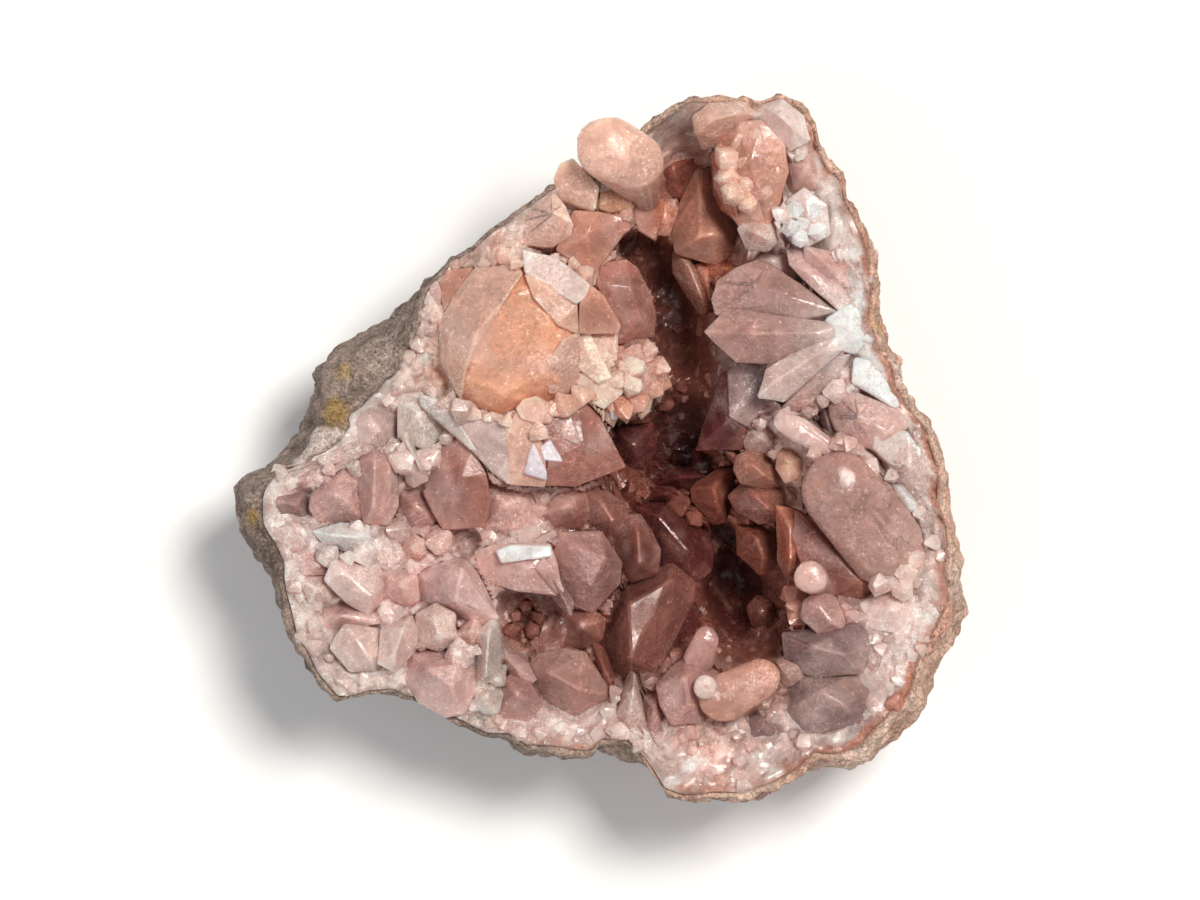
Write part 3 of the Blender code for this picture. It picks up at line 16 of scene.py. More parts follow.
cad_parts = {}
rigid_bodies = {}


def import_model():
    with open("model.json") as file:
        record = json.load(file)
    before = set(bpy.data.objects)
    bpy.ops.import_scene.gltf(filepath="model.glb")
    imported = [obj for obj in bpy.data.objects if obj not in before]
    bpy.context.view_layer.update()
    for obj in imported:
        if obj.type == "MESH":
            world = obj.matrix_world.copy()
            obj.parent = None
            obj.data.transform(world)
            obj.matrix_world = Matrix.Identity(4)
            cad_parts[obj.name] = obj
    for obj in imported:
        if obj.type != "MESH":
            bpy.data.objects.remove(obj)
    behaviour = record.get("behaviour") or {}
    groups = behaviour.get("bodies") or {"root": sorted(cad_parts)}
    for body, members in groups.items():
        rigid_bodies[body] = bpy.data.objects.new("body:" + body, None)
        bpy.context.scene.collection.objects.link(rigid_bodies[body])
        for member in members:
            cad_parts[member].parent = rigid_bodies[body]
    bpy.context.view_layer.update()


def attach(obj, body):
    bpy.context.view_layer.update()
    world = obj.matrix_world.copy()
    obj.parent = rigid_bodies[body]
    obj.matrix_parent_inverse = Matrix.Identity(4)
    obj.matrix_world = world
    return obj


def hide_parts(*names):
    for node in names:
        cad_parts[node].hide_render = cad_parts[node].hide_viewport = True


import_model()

MM = 0.001

# Driving dimensions of the nodule's form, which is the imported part's too.
BELT_HEIGHT = 20.0  # widest level of the nodule
FOOT_CUT = 1.6  # how much of the round back the foot takes off
FOOT_BLUR = 60.0  # degrees over which the outline is evened out near the foot
RIM_MEAN = 30.5  # height of the broken edge
RIM_SWING = 3.0  # how much it rises and falls around the geode
RIM_HIGH_SIDE = 50.0  # heading of its highest side, in degrees
RIM_JAG = 1.2  # unevenness of the broken edge
JAG_RADIUS = 35.0  # the unevenness is read along a circle of this radius
FLOOR_THICKNESS = 3.4  # rind under the hollow
LIP_WIDTH = 1.1  # widest flat of broken rind along the edge
BACK_ROUNDNESS = 0.75  # 1 for a round back, less for a boxier one
STEEPEST_BROW = 0.15  # least share of the bare rock that slopes
LUMP = 1.5  # height of the rind's large bulges
LUMP_WIDTH = 13.0  # and their width
CRUST_THINNEST = 2.2  # least thickness of the crust
SAG = 6.5  # how far the lining dips between the edges, before its hollows
LINING_WAVE = (0.8, 5.0)  # height and width of the lining's swells

# Fine roughness of the rock.
RIND_ROUGH = ((0.55, 3.5), (0.25, 1.3))  # height and width of the smaller lumps and of the grains
PIT_DEPTH = 0.8
PIT_WIDTH = 2.2

# Large crystals.
GROWTH = 1.1  # how much wider a crystal's outline is made, so that neighbours meet
CRYSTAL_LEAN = 0.4  # steepest lean of a crystal's shoulder
ROOT_DEPTH = 4.0  # least depth of a crystal's root under its shoulder
ROOT_TAPER = 0.8  # width of a root as a share of its crystal's
LEANING_TAPER = 0.35  # the same for a crystal that leans in from the wall
ROOT_INSET = 3.0  # how far such a root keeps from the wall
PEBBLE_FLATNESS = 0.42  # height of a rounded crystal's balls as a share of their width
PEBBLE_UNEVEN = 0.3  # height of the lumps on it
OUTLINE_WEAR = 0.22  # width of the worn edges of the crystals given by an outline
CORNER_WEAR = 0.18  # the same for those given by their corners
WORN_ANGLE = 0.6  # sharpest edge that isn't worn, in radians
POINT_WEAR = 0.05  # width of the worn edges of a small point
WORN_POINT = 2.6  # widest point whose edges stay sharp
FACE_DIVISION = 1.9  # longest edge within a face
FACE_UNEVEN = 0.11  # height of the swells on a face
EDGE_WIDTH = 0.3  # width of the pale band along a face's edge, which is worn and painted as a highlight
BROAD_FACE = 2.0  # smallest face with such a band, in square millimetres
SMOOTH_ANGLE = 36  # widest angle that is shaded smooth, in degrees

# Lining and small crystals.
SOCKET_DEPTH = 0.35  # how far the lining stays under a crystal
FILLED_GAP = 2.5  # widest gap between crystals that the lining fills
SEAT_SLOPE = 1.2  # steepest rise of the lining away from a low crystal
SEAT_REACH = 6.0  # how far around a low crystal the lining gives way
BURIED = 0.5  # a crystal shows where it stands at most this far under the lining
BESIDE = 0.5  # how far the lining beside a crystal reaches
OVERGROWTH = 0.3  # how far the lining climbs between crystals
LINING_ROUGH = 0.35  # height of its flat tilted patches
SMALL_WIDTHS = ((2.6, 3.8, 400), (1.6, 2.6, 900))  # narrowest, widest and how many are tried
SMALL_SPACING = 0.36  # distance between small crystals as a share of their width
SEAM_WIDTHS = (1.0, 2.0)  # narrowest and widest point in the seams between large crystals
SEAM_POINTS = 1500  # how many are tried
SEAM_SPACING = 1.5  # least distance between them
SLOPE_STEP = 0.5  # distance over which the lining's slope is read
SEED = 11

# Fineness.
RIND_HEADINGS = 560
RIND_RISES = 90
CRUST_HEADINGS = 350
CRUST_RINGS = 76
INNER_GAP = 0.4  # how far the crust reaches into the wall, and how much lower the rind's bowl lies
PLAN_HALF = 44.0  # half the side of the grid that maps the crust from above
PLAN_STEP = 0.25  # spacing of that grid
FAR = 99.0  # a height beyond every other

# Camera, floor and light.
CAMERA_HEIGHT = 1.02  # metres
FOCAL_LENGTH = 270.0  # behind a sensor of SENSOR_WIDTH
SENSOR_WIDTH = 36.0
FLOOR_HALF = 2.5  # half the side of the floor, metres
LIGHT_AIM = 0.025  # height that the lamps face, metres
ROOM_LIGHT = 0.29  # strength of the light from all round

# Where colours change.
HOLLOW_BELOW = 24.0  # height under which the hollows are painted darker, as shade
PIT_BELOW = 18.0  # height under which that painted shade is darkest
STAINS_ABOVE = 25.0  # height over which the rind has stains
RUST_SIDE = -5.0  # heading of the most rusty edge, in degrees
STAR = (27.2, 12.8)  # the white root of the fan, its whiteness partly a painted highlight
STAR_REACH = 5.0  # how far it whitens the crystals
COLOUR_REACH = 1.3  # how far a crystal colours the lining, as a share of its width
CLOUDINESS = 0.35  # strongest pale cloud
EDGE_WEAR_AND_HIGHLIGHT = 0.14  # how much paler a crystal's sharper edges are: partly wear, partly a painted highlight
PALE_ANGLE = 0.5  # sharpest edge that isn't paler, in radians
COLOUR_UNEVEN = 0.12  # variation of the colour within a crystal
OUTLINE_GLOW = 1.08  # brightness of a crystal's colour along its outline, a painted glow of light through its thin edges
MIDDLE_SHADE = 0.82  # and in its middle, where that painted glow is weakest

# Colours, as red, green and blue in linear light.
PALETTE = {
    "ember": (0.752, 0.36, 0.223),
    "blush": (0.719, 0.425, 0.327),
    "peach": (0.762, 0.459, 0.358),
    "sand": (0.94, 0.66, 0.53),
    "clay": (0.365, 0.153, 0.12),
    "salmon": (0.545, 0.262, 0.19),
    "russet": (0.50, 0.165, 0.10),
    "umber": (0.285, 0.108, 0.084),
    "hollow": (0.24, 0.075, 0.05),
    # Painted shade at the bottom of the hollows.
    "pit shade": (0.08, 0.012, 0.009),
    "wine": (0.128, 0.029, 0.028),
    "rose": (0.66, 0.407, 0.369),
    "shell": (0.78, 0.51, 0.47),
    "petal": (0.435, 0.245, 0.212),
    "mauve": (0.459, 0.252, 0.224),
    "smoke": (0.28, 0.175, 0.167),
    "haze": (0.682, 0.49, 0.451),
    "frost": (0.792, 0.589, 0.54),
    "milk": (0.767, 0.648, 0.599),
    # Painted reflection on two small facets.
    "lilac": (0.78, 0.67, 0.73),
    "snow": (0.90, 0.85, 0.82),
    "dark rock": (0.13, 0.09, 0.07),
    "grey rock": (0.34, 0.25, 0.205),
    "pale rock": (0.52, 0.42, 0.38),
    "cream rock": (0.58, 0.41, 0.32),
    "ochre": (0.36, 0.22, 0.06),
    "rust": (0.42, 0.14, 0.08),
}
# A grain near the rock has one of these.
GRANULES = ("frost", "milk", "rose", "haze", "milk", "snow", "mauve", "frost")

# The outline seen from above, anticlockwise from +X.
OUTLINE = (
    (37.9, 0.0), (36.9, 2.9), (35.1, 5.0), (33.7, 7.3), (33.6, 9.4), (32.2, 11.4), (32.0, 13.0),
    (31.0, 14.8), (31.2, 18.5), (30.7, 22.0), (28.8, 26.0), (27.5, 28.0), (27.2, 30.0), (25.4, 32.0),
    (24.2, 34.2), (23.9, 36.0), (22.0, 38.4), (19.8, 39.4), (18.1, 38.5), (14.5, 38.9), (11.3, 38.8),
    (10.2, 39.2), (8.4, 38.2), (6.0, 36.9), (3.6, 34.4), (-0.4, 32.0), (-4.2, 29.8), (-7.4, 27.6),
    (-10.0, 25.7), (-12.2, 24.4), (-14.2, 22.6), (-16.3, 21.5), (-17.9, 20.0), (-20.7, 17.3),
    (-22.0, 15.6), (-25.2, 13.7), (-28.6, 12.2), (-30.4, 10.2), (-31.7, 8.5), (-32.1, 5.8),
    (-33.0, 4.3), (-32.8, 3.1), (-34.1, 1.4), (-33.7, -0.3), (-36.2, -1.8), (-39.0, -2.3),
    (-40.7, -4.0), (-41.0, -5.6), (-40.5, -9.0), (-38.8, -11.3), (-37.2, -13.4), (-36.3, -16.6),
    (-35.6, -18.2), (-34.4, -21.4), (-33.2, -22.7), (-32.0, -25.0), (-30.4, -26.7), (-29.2, -27.9),
    (-26.0, -27.1), (-23.4, -26.8), (-22.0, -27.6), (-19.9, -27.9), (-16.0, -30.1), (-12.2, -31.9),
    (-10.4, -32.2), (-8.4, -34.0), (-5.0, -34.2), (-1.2, -34.6), (0.1, -33.0), (3.2, -32.6),
    (5.2, -34.9), (6.4, -36.8), (7.4, -38.5), (9.4, -39.3), (13.0, -39.1), (16.2, -39.2),
    (19.4, -38.1), (22.7, -36.0), (24.8, -34.9), (27.7, -35.5), (30.4, -34.7), (32.2, -32.8),
    (34.8, -30.4), (36.6, -28.6), (37.4, -24.5), (39.4, -21.0), (40.9, -17.6), (40.1, -14.0),
    (39.7, -9.5), (38.6, -5.7), (38.7, -2.6),
)

# How wide a band of bare rock shows inside the outline, each heading in degrees and width.
BARE_ROCK = (
    (-176, 4.4), (-171, 3.8), (-163, 3.2), (-158, 2.2), (-148, 1.3), (-138, 0.8), (-128, 0.8),
    (-112, 0.6), (-103, 1.7), (-92, 1.5), (-84, 0.7), (-78, 1.4), (-65, 1.7), (-58, 1.3), (-52, 2.6),
    (-38, 3.2), (-31, 2.8), (-24, 3.0), (-14, 1.8), (0, 1.5), (15, 1.6), (24, 2.0), (33, 1.8),
    (42, 1.3), (60, 0.9), (74, 0.9), (80, 1.6), (86, 0.8), (110, 0.7), (130, 1.0), (138, 1.4),
    (144, 2.8), (151, 5.0), (158, 7.6), (165, 7.6), (172, 5.4), (178, 5.6), (181, 3.0),
)

# Hollows of the lining, each x, y, half length, half width, heading of its length and depth.
HOLLOWS = {
    "deep well": (15.6, -17.0, 7.0, 4.6, -75, 15.0),
    "middle": (9.5, -1.0, 9.0, 6.5, -40, 15.5),
    "saddle between": (13.0, -9.0, 8.0, 5.0, -80, 6.0),
    "upper trench": (7.2, 17.0, 10.0, 3.8, 105, 13.5),
    "top slit": (9.4, 29.0, 5.0, 2.6, 70, 12.0),
    "west nook": (2.0, 22.2, 2.6, 1.8, 60, 8.0),
    "lower nook": (-8.2, -19.0, 3.6, 2.8, 170, 9.5),
    "south slit": (19.4, -26.8, 3.6, 1.2, 60, 6.0),
}

# Rises of the lining, given in the same way.
RISES = {
    "under the great crystal": (-10.0, 12.0, 11.0, 9.0, 150, 4.5),
    "east bank": (26.0, -6.0, 17.0, 6.5, -80, 4.0),
    "south bank": (8.0, -29.0, 13.0, 4.5, 0, 2.5),
    "west bank": (-20.0, -19.0, 12.0, 8.0, 160, 2.5),
}

# Large crystals: name, colour, height of the shoulder, ridge points, outline of the shoulder seen from
# above and, for a crystal that leans, the place of its root.
CRYSTALS = (
    # West shelf.
    ("fog", "rose", 25.5, ((-10.4, -6.0, 28.5),),
     ((-12.6, -3.6), (-9.6, -4.4), (-7.6, -5.0), (-6.8, -8.0), (-9.0, -9.6), (-12.6, -8.6))),
    ("mitre", "rose", 28, ((-24.7, -1.0, 32.0), (-24.9, -6.4, 31.5)),
     ((-24.8, -0.1), (-23.2, -0.9), (-22.4, -2.2), (-22.3, -6.0), (-23.4, -8.0), (-25.9, -7.8),
      (-26.7, -4.0), (-26.6, -1.4))),
    ("west block", "rose", 27, ((-29.6, -4.8, 30.0), (-28.0, -5.4, 30.4)),
     ((-31.8, -4.8), (-28.4, -2.2), (-26.6, -3.0), (-26.2, -7.6), (-31.0, -8.1), (-32.0, -6.4))),
    ("west pane", "smoke", 25.5, ((-35.4, -5.6, 28.2), (-33.4, -6.0, 28.2)),
     ((-37.4, -4.8), (-36.0, -3.9), (-32.4, -4.2), (-32.2, -7.8), (-36.9, -8.0))),
    ("tab", "milk", 29, ((-26.9, -2.0, 31.0),),
     ((-28.0, -1.7), (-26.6, -1.1), (-26.3, -3.0), (-27.1, -2.9))),
    ("milk west", "haze", 26.5, ((-25.4, 3.6, 29.3), (-24.4, 2.2, 29.0)),
     ((-27.4, 5.6), (-25.0, 5.8), (-22.5, 4.2), (-23.0, 1.4), (-24.2, 0.3), (-25.8, 0.3), (-27.8, 2.0))),
    ("milk east", "milk", 27, ((-19.8, 4.0, 30.2),),
     ((-22.2, 6.4), (-19.6, 6.6), (-17.4, 4.6), (-17.2, 1.6), (-19.4, 0.2), (-22.2, 1.4))),
    ("needle", "milk", 28.5, ((-21.4, 1.2, 30.6), (-19.8, -2.0, 30.6)),
     ((-22.0, 1.4), (-21.2, 1.9), (-19.2, -2.0), (-19.6, -2.9), (-20.2, -2.4))),
    ("frost bar", "snow", 28, ((-29.6, -9.3, 30.5), (-26.6, -9.6, 31.0)),
     ((-31.6, -9.0), (-28.6, -8.1), (-25.6, -8.4), (-25.0, -9.8), (-26.4, -11.1), (-28.0, -11.2),
      (-30.4, -10.4))),
    ("pale coin", "rose", 26.5, ((-20.4, -10.8, 29.0),),
     ((-21.6, -10.0), (-20.4, -9.4), (-19.2, -10.0), (-19.2, -11.8), (-20.2, -12.4), (-21.6, -11.6))),
    ("small coin", "rose", 26, ((-18.1, -10.4, 28.4),),
     ((-19.0, -9.6), (-17.2, -9.6), (-17.0, -11.0), (-18.0, -11.8), (-19.0, -11.0))),
    ("dark pane", "mauve", 25, ((-20.4, -6.2, 26.8),),
     ((-22.2, -4.4), (-20.0, -4.2), (-18.2, -6.8), (-18.2, -8.2), (-21.0, -8.4), (-22.0, -7.0))),
    # South-west bank.
    ("sail", "shell", 28.5, ((-15.1, -13.0, 34.0), (-15.9, -16.6, 33.5)),
     ((-19.9, -13.7), (-17.0, -12.5), (-14.8, -12.2), (-13.5, -13.8), (-12.4, -16.6), (-11.3, -18.4),
      (-13.2, -19.3), (-19.8, -16.8))),
    ("cheek", "rose", 28, ((-21.8, -14.6, 31.0),),
     ((-24.0, -13.5), (-22.0, -13.2), (-20.2, -13.8), (-19.9, -16.4), (-21.2, -17.3), (-24.2, -16.0))),
    ("slab", "frost", 28, ((-28.2, -13.4, 31.0), (-25.2, -16.0, 31.0)),
     ((-29.4, -12.2), (-24.6, -12.7), (-23.6, -14.6), (-24.2, -16.8), (-25.6, -18.0), (-28.0, -16.8),
      (-30.2, -14.4))),
    ("lilac", "frost", 27, ((-31.2, -15.2, 30.0),),
     ((-33.2, -14.2), (-30.6, -14.0), (-29.2, -15.5), (-29.4, -16.5), (-32.0, -17.0))),
    ("rough", "rose", 27, ((-31.0, -12.6, 29.5),),
     ((-33.0, -11.6), (-31.6, -11.0), (-29.6, -12.0), (-30.0, -13.8), (-32.6, -13.8))),
    ("flagstone", "rose", 26.5, ((-28.6, -18.2, 28.8),),
     ((-31.0, -17.2), (-28.0, -17.0), (-24.6, -18.2), (-24.4, -19.2), (-27.6, -19.4), (-30.0, -20.0),
      (-31.4, -18.8))),
    ("west petal", "frost", 28, ((-26.8, -20.6, 31.2), (-25.4, -22.8, 31.0)),
     ((-28.1, -19.3), (-24.2, -20.0), (-22.6, -21.6), (-24.6, -24.3), (-27.5, -24.4), (-29.7, -21.8))),
    ("east petal", "frost", 29, ((-21.6, -19.6, 32.5), (-22.6, -22.6, 32.0)),
     ((-24.0, -19.8), (-20.8, -18.3), (-19.9, -20.0), (-20.4, -22.0), (-22.5, -24.4), (-24.4, -23.4))),
    ("sugar lump", "frost", 29.5, ((-18.2, -18.8, 33.0), (-17.6, -20.4, 33.0)),
     ((-20.3, -18.2), (-18.0, -16.9), (-16.0, -18.1), (-15.8, -20.6), (-17.6, -22.1), (-19.7, -21.4))),
    ("chip", "shell", 29.5, ((-14.2, -19.8, 33.0),),
     ((-15.4, -19.6), (-13.6, -18.4), (-12.9, -20.2), (-13.9, -21.8), (-16.0, -20.6))),
    ("fin", "milk", 29, ((-12.2, -20.2, 33.5), (-12.5, -24.6, 33.0)),
     ((-13.5, -20.2), (-12.0, -18.9), (-11.2, -19.2), (-10.9, -21.5), (-11.0, -24.3), (-12.2, -25.5),
      (-13.7, -26.0))),
    ("rose", "rose", 28, ((-18.8, -24.0, 33.0), (-15.6, -23.6, 33.0), (-16.2, -26.4, 33.4)),
     ((-20.9, -22.2), (-14.6, -22.2), (-13.7, -24.0), (-13.9, -26.6), (-15.0, -28.8), (-17.0, -29.3),
      (-19.9, -27.7), (-21.3, -25.4))),
    ("gem", "milk", 28, ((-12.5, -27.2, 32.0),),
     ((-13.8, -26.2), (-12.9, -25.9), (-11.5, -25.6), (-10.8, -27.0), (-11.2, -28.9), (-12.7, -29.1),
      (-13.9, -28.0))),
    ("gem top", "milk", 28.5, ((-11.4, -25.2, 31.5),),
     ((-12.4, -25.4), (-11.8, -24.5), (-10.5, -24.7), (-10.5, -26.0), (-11.4, -26.2))),
    ("skirt", "mauve", 26.5, ((-9.2, -26.8, 30.0),),
     ((-10.9, -25.8), (-10.0, -25.0), (-8.0, -25.7), (-6.4, -28.0), (-7.6, -30.2), (-10.2, -30.2),
      (-11.3, -29.2))),
    ("cuff", "rose", 26, ((-9.0, -24.2, 29.0),),
     ((-10.6, -22.7), (-9.0, -22.8), (-8.0, -23.6), (-7.2, -25.4), (-8.2, -26.4), (-10.1, -25.0))),
    ("drum", "petal", 25, ((-5.4, -24.6, 29.0), (-2.2, -26.4, 29.5)),
     ((-8.0, -24.0), (-6.6, -22.7), (-4.0, -22.1), (-1.8, -22.5), (1.0, -27.0), (-2.8, -30.1),
      (-6.0, -28.2), (-7.6, -26.0))),
    ("strap", "smoke", 27, ((-5.2, -14.2, 30.5), (-3.6, -17.2, 29.0)),
     ((-5.8, -13.4), (-4.4, -13.8), (-3.0, -16.8), (-3.2, -18.2), (-4.4, -17.2), (-6.2, -15.0))),
    # Steps down into the hollow.
    ("plate", "mauve", 25.5, ((-2.6, -10.8, 29.0), (0.4, -11.8, 29.0), (-1.0, -15.0, 29.0)),
     ((-4.2, -9.4), (0.0, -9.2), (2.2, -12.5), (2.0, -14.8), (-0.8, -17.8), (-3.0, -17.0), (-4.6, -14.0),
      (-5.0, -11.6))),
    ("mottle", "clay", 24.5, ((-3.4, -6.2, 27.3),),
     ((-5.0, -5.0), (-3.2, -4.4), (-1.6, -4.8), (-1.0, -7.2), (-2.2, -8.6), (-5.0, -8.6), (-6.4, -7.0))),
    ("cobble", "clay", 23, ((0.2, -5.8, 27.0), (1.4, -7.8, 26.8)),
     ((-1.4, -4.7), (0.0, -4.2), (2.6, -5.9), (3.0, -7.4), (2.1, -9.5), (0.8, -9.5), (-1.1, -8.2))),
    ("disc", "umber", 21.5, ((4.2, -9.0, 26.5), (4.4, -12.4, 26.0)),
     ((2.9, -7.5), (4.4, -7.3), (5.7, -9.2), (6.5, -11.0), (6.2, -13.6), (3.4, -14.5), (2.0, -13.0),
      (1.6, -10.0))),
    ("spire", "umber", 19, ((7.6, -14.4, 24.0), (3.2, -17.0, 25.0), (3.4, -23.0, 26.0)),
     ((2.4, -15.4), (7.9, -13.0), (10.2, -15.0), (10.1, -17.0), (6.6, -24.2), (3.0, -25.9), (1.2, -24.0),
      (0.3, -21.6)), (4.0, -21.0, 14.0)),
    ("spire foot", "wine", 16, ((9.4, -18.4, 19.5),),
     ((7.6, -16.6), (10.0, -16.4), (11.6, -18.2), (10.6, -20.6), (8.4, -22.0), (7.0, -21.0))),
    ("plank", "umber", 23, ((0.2, -23.6, 25.4),),
     ((-0.8, -21.5), (0.4, -21.9), (1.4, -24.6), (1.8, -27.0), (0.4, -26.0), (-0.6, -23.6))),
    ("amber", "clay", 22, ((-2.0, -19.4, 25.8),),
     ((-4.0, -18.0), (-1.0, -17.6), (0.6, -18.6), (0.2, -21.0), (-1.8, -22.0), (-4.0, -21.6))),
    ("dusk", "wine", 15, ((6.6, -7.4, 19.0), (9.6, -11.0, 19.5)),
     ((3.4, -6.1), (8.0, -5.6), (10.2, -7.2), (11.8, -8.8), (12.5, -11.0), (12.4, -13.2), (10.5, -15.0),
      (7.4, -13.4))),
    ("west glint", "hollow", 19, ((3.3, -4.6, 21.5),),
     ((2.1, -5.3), (3.4, -3.2), (4.3, -4.2), (3.6, -5.6))),
    ("east glint", "wine", 16, ((7.4, -4.9, 18.5),),
     ((5.3, -5.6), (6.0, -4.0), (8.4, -4.2), (8.2, -5.6))),
    ("knot", "hollow", 17, ((12.6, -4.2, 21.0), (13.2, -6.4, 20.5)),
     ((10.2, -4.2), (12.0, -3.1), (13.6, -1.9), (15.1, -2.1), (14.7, -5.0), (14.2, -7.8), (12.6, -8.0),
      (10.4, -5.6))),
    ("sill", "wine", 12, ((9.0, -3.0, 14.8),),
     ((6.7, -3.8), (8.0, -1.8), (10.6, -2.2), (12.0, -3.0), (9.4, -4.6))),
    ("lurker", "wine", 16, ((3.8, 0.6, 20.5),),
     ((1.2, 2.7), (5.8, 3.0), (6.3, 0.6), (5.0, -2.1), (3.4, -2.1), (2.0, -0.4))),
    ("splint", "haze", 24.5, ((17.6, 4.2, 26.2),),
     ((16.0, 2.9), (19.4, 4.0), (19.8, 5.1), (18.4, 5.2), (16.6, 4.4)), (19.5, 4.5, 22.0)),
    # The fan of clear points on the east wall.
    ("fan shadow", "haze", 26, ((19.0, 20.8, 28.0),),
     ((16.4, 21.1), (18.6, 22.0), (20.4, 22.0), (21.6, 19.2), (20.0, 18.6)), (22.0, 19.0, 24.0)),
    ("west shard", "smoke", 27.5, ((23.4, 3.0, 29.6),),
     ((22.0, 3.9), (23.0, 4.2), (25.0, 1.6), (25.4, 0.8), (24.2, 1.2))),
    ("east shard", "smoke", 27.5, ((25.0, 3.4, 29.2),),
     ((24.4, 5.0), (25.4, 4.4), (26.0, 2.0), (25.6, 1.2), (24.4, 3.0))),
    # East wall below the fan.
    ("first kernel", "haze", 24.5, ((17.6, 1.4, 28.0),),
     ((16.0, 0.9), (16.6, 2.3), (18.6, 2.6), (19.5, 1.6), (19.5, 0.0), (17.6, -0.3), (16.1, 0.1))),
    ("second kernel", "salmon", 23.5, ((16.8, -1.6, 27.5), (18.2, -2.8, 27.0)),
     ((15.1, -0.8), (16.4, -0.1), (18.0, -0.3), (19.8, -2.0), (20.0, -4.0), (17.8, -4.2), (15.7, -3.6),
      (14.9, -2.2))),
    ("third kernel", "clay", 21.5, ((17.0, -5.0, 26.0), (18.6, -6.4, 25.5)),
     ((14.4, -5.2), (16.0, -3.6), (18.0, -3.9), (20.4, -4.4), (20.6, -7.6), (17.6, -8.0), (15.2, -6.8))),
    ("fourth kernel", "blush", 26, ((20.8, -1.4, 28.5),),
     ((19.6, 0.2), (21.4, 0.2), (22.8, -1.0), (22.2, -3.2), (20.4, -3.6), (19.4, -2.0))),
    ("fifth kernel", "hollow", 18, ((17.4, -9.8, 22.5), (18.2, -12.0, 21.5)),
     ((15.2, -8.4), (17.6, -8.2), (20.2, -9.2), (20.2, -13.0), (17.8, -13.8), (15.4, -11.6))),
    ("pale glint", "clay", 21, ((14.7, -0.6, 23.6),),
     ((13.5, 0.1), (15.2, -0.1), (15.3, -2.1), (14.4, -1.2)), (16.0, -1.0, 20.0)),
    ("rust", "rose", 29, ((26.8, 8.4, 31.8),),
     ((25.5, 10.0), (27.8, 9.6), (28.2, 7.4), (26.2, 6.7), (25.3, 7.8))),
    ("flake", "snow", 31.5, ((33.4, -5.0, 33.8),),
     ((32.0, -3.8), (33.3, -3.9), (34.8, -6.0), (34.2, -6.8), (32.8, -5.4))),
    ("apron", "umber", 27, ((24.4, -9.8, 29.5), (28.6, -14.4, 30.0)),
     ((21.8, -7.0), (24.0, -8.0), (30.4, -13.6), (31.0, -15.4), (28.6, -16.8), (25.4, -16.0), (22.6, -13.0),
      (21.4, -10.0))),
    ("strip", "russet", 25.5, ((20.9, -8.4, 29.0), (21.0, -12.0, 29.0)),
     ((19.6, -6.4), (21.6, -6.8), (22.5, -9.0), (22.2, -12.4), (20.7, -14.2), (19.7, -12.0))),
    ("satin", "rose", 28.5, ((24.0, -17.0, 32.0), (25.4, -18.8, 32.0)),
     ((22.5, -16.7), (24.0, -15.7), (25.8, -16.2), (27.0, -18.0), (27.0, -19.8), (24.0, -20.2),
      (22.3, -18.6))),
    ("ghost", "umber", 15, ((18.0, -18.0, 18.5),),
     ((16.4, -17.6), (17.6, -16.4), (19.4, -16.8), (20.0, -18.6), (19.0, -19.9), (17.0, -19.6))),
    ("upper bluff", "smoke", 28, ((23.4, -21.6, 31.5), (27.0, -22.6, 32.0)),
     ((20.4, -20.4), (24.0, -20.4), (28.4, -19.0), (29.6, -21.4), (28.6, -24.4), (24.0, -25.0),
      (20.8, -24.0))),
    ("lower bluff", "smoke", 27.5, ((24.2, -26.4, 31.0), (26.6, -28.0, 31.0)),
     ((21.4, -24.6), (28.4, -24.6), (30.0, -26.6), (28.4, -30.0), (23.0, -31.4), (20.4, -29.0))),
    ("east rim", "frost", 31, ((34.0, -1.6, 33.5),),
     ((31.6, -0.6), (34.0, 1.6), (35.8, -0.6), (36.4, -4.0), (34.6, -5.2), (32.2, -3.0))),
    ("south-east rim", "frost", 29, ((32.0, -17.4, 31.6),),
     ((28.8, -17.0), (32.0, -15.6), (35.0, -15.0), (36.2, -18.6), (34.0, -20.4), (30.0, -19.6))),
    # South bank.
    ("peach", "mauve", 27, ((9.4, -25.0, 31.5), (9.8, -28.0, 31.0)),
     ((6.4, -26.0), (8.0, -24.1), (9.6, -22.9), (11.9, -23.2), (13.2, -24.6), (11.4, -29.8), (8.0, -30.0),
      (6.8, -28.0))),
    ("fang", "haze", 26.5, ((3.7, -26.0, 31.0), (3.3, -28.6, 30.0)),
     ((3.8, -24.9), (4.3, -26.4), (4.6, -28.4), (5.0, -30.0), (3.0, -31.0), (1.7, -29.4), (2.6, -27.0))),
    ("pocket", "mauve", 25.5, ((6.0, -28.6, 28.2),),
     ((4.7, -27.0), (6.6, -26.6), (7.2, -29.0), (7.0, -31.6), (5.2, -31.6))),
    ("knuckle", "smoke", 26.5, ((17.9, -30.4, 29.2),),
     ((16.4, -30.2), (18.0, -29.1), (20.2, -31.0), (19.6, -32.4), (16.4, -32.0))),
    # North end.
    ("gourd", "salmon", 21, ((11.0, 29.0, 24.5), (11.0, 23.6, 26.5), (13.0, 23.8, 26.0)),
     ((10.4, 31.6), (12.0, 31.2), (12.5, 28.6), (15.0, 24.8), (15.2, 22.2), (12.8, 20.9), (8.5, 22.0),
      (8.1, 24.2)), (12.5, 25.0, 13.0)),
    ("keel", "salmon", 19, ((9.9, 20.4, 23.0), (11.4, 16.6, 22.5)),
     ((8.1, 22.0), (9.8, 21.6), (11.0, 18.0), (12.2, 15.4), (11.2, 15.0), (9.2, 17.8),
      (8.1, 19.6)), (12.0, 19.0, 15.0)),
    ("plum", "russet", 21, ((13.8, 20.2, 23.5),),
     ((12.0, 20.9), (15.4, 21.0), (16.4, 20.4), (14.6, 19.0), (12.4, 19.2))),
    ("sloe", "russet", 19.5, ((11.8, 19.0, 21.8),),
     ((10.6, 20.6), (12.4, 20.8), (12.6, 18.6), (12.2, 16.6), (11.0, 18.4))),
    ("lintel", "peach", 33, ((12.4, 36.2, 36.0), (15.0, 36.8, 36.5)),
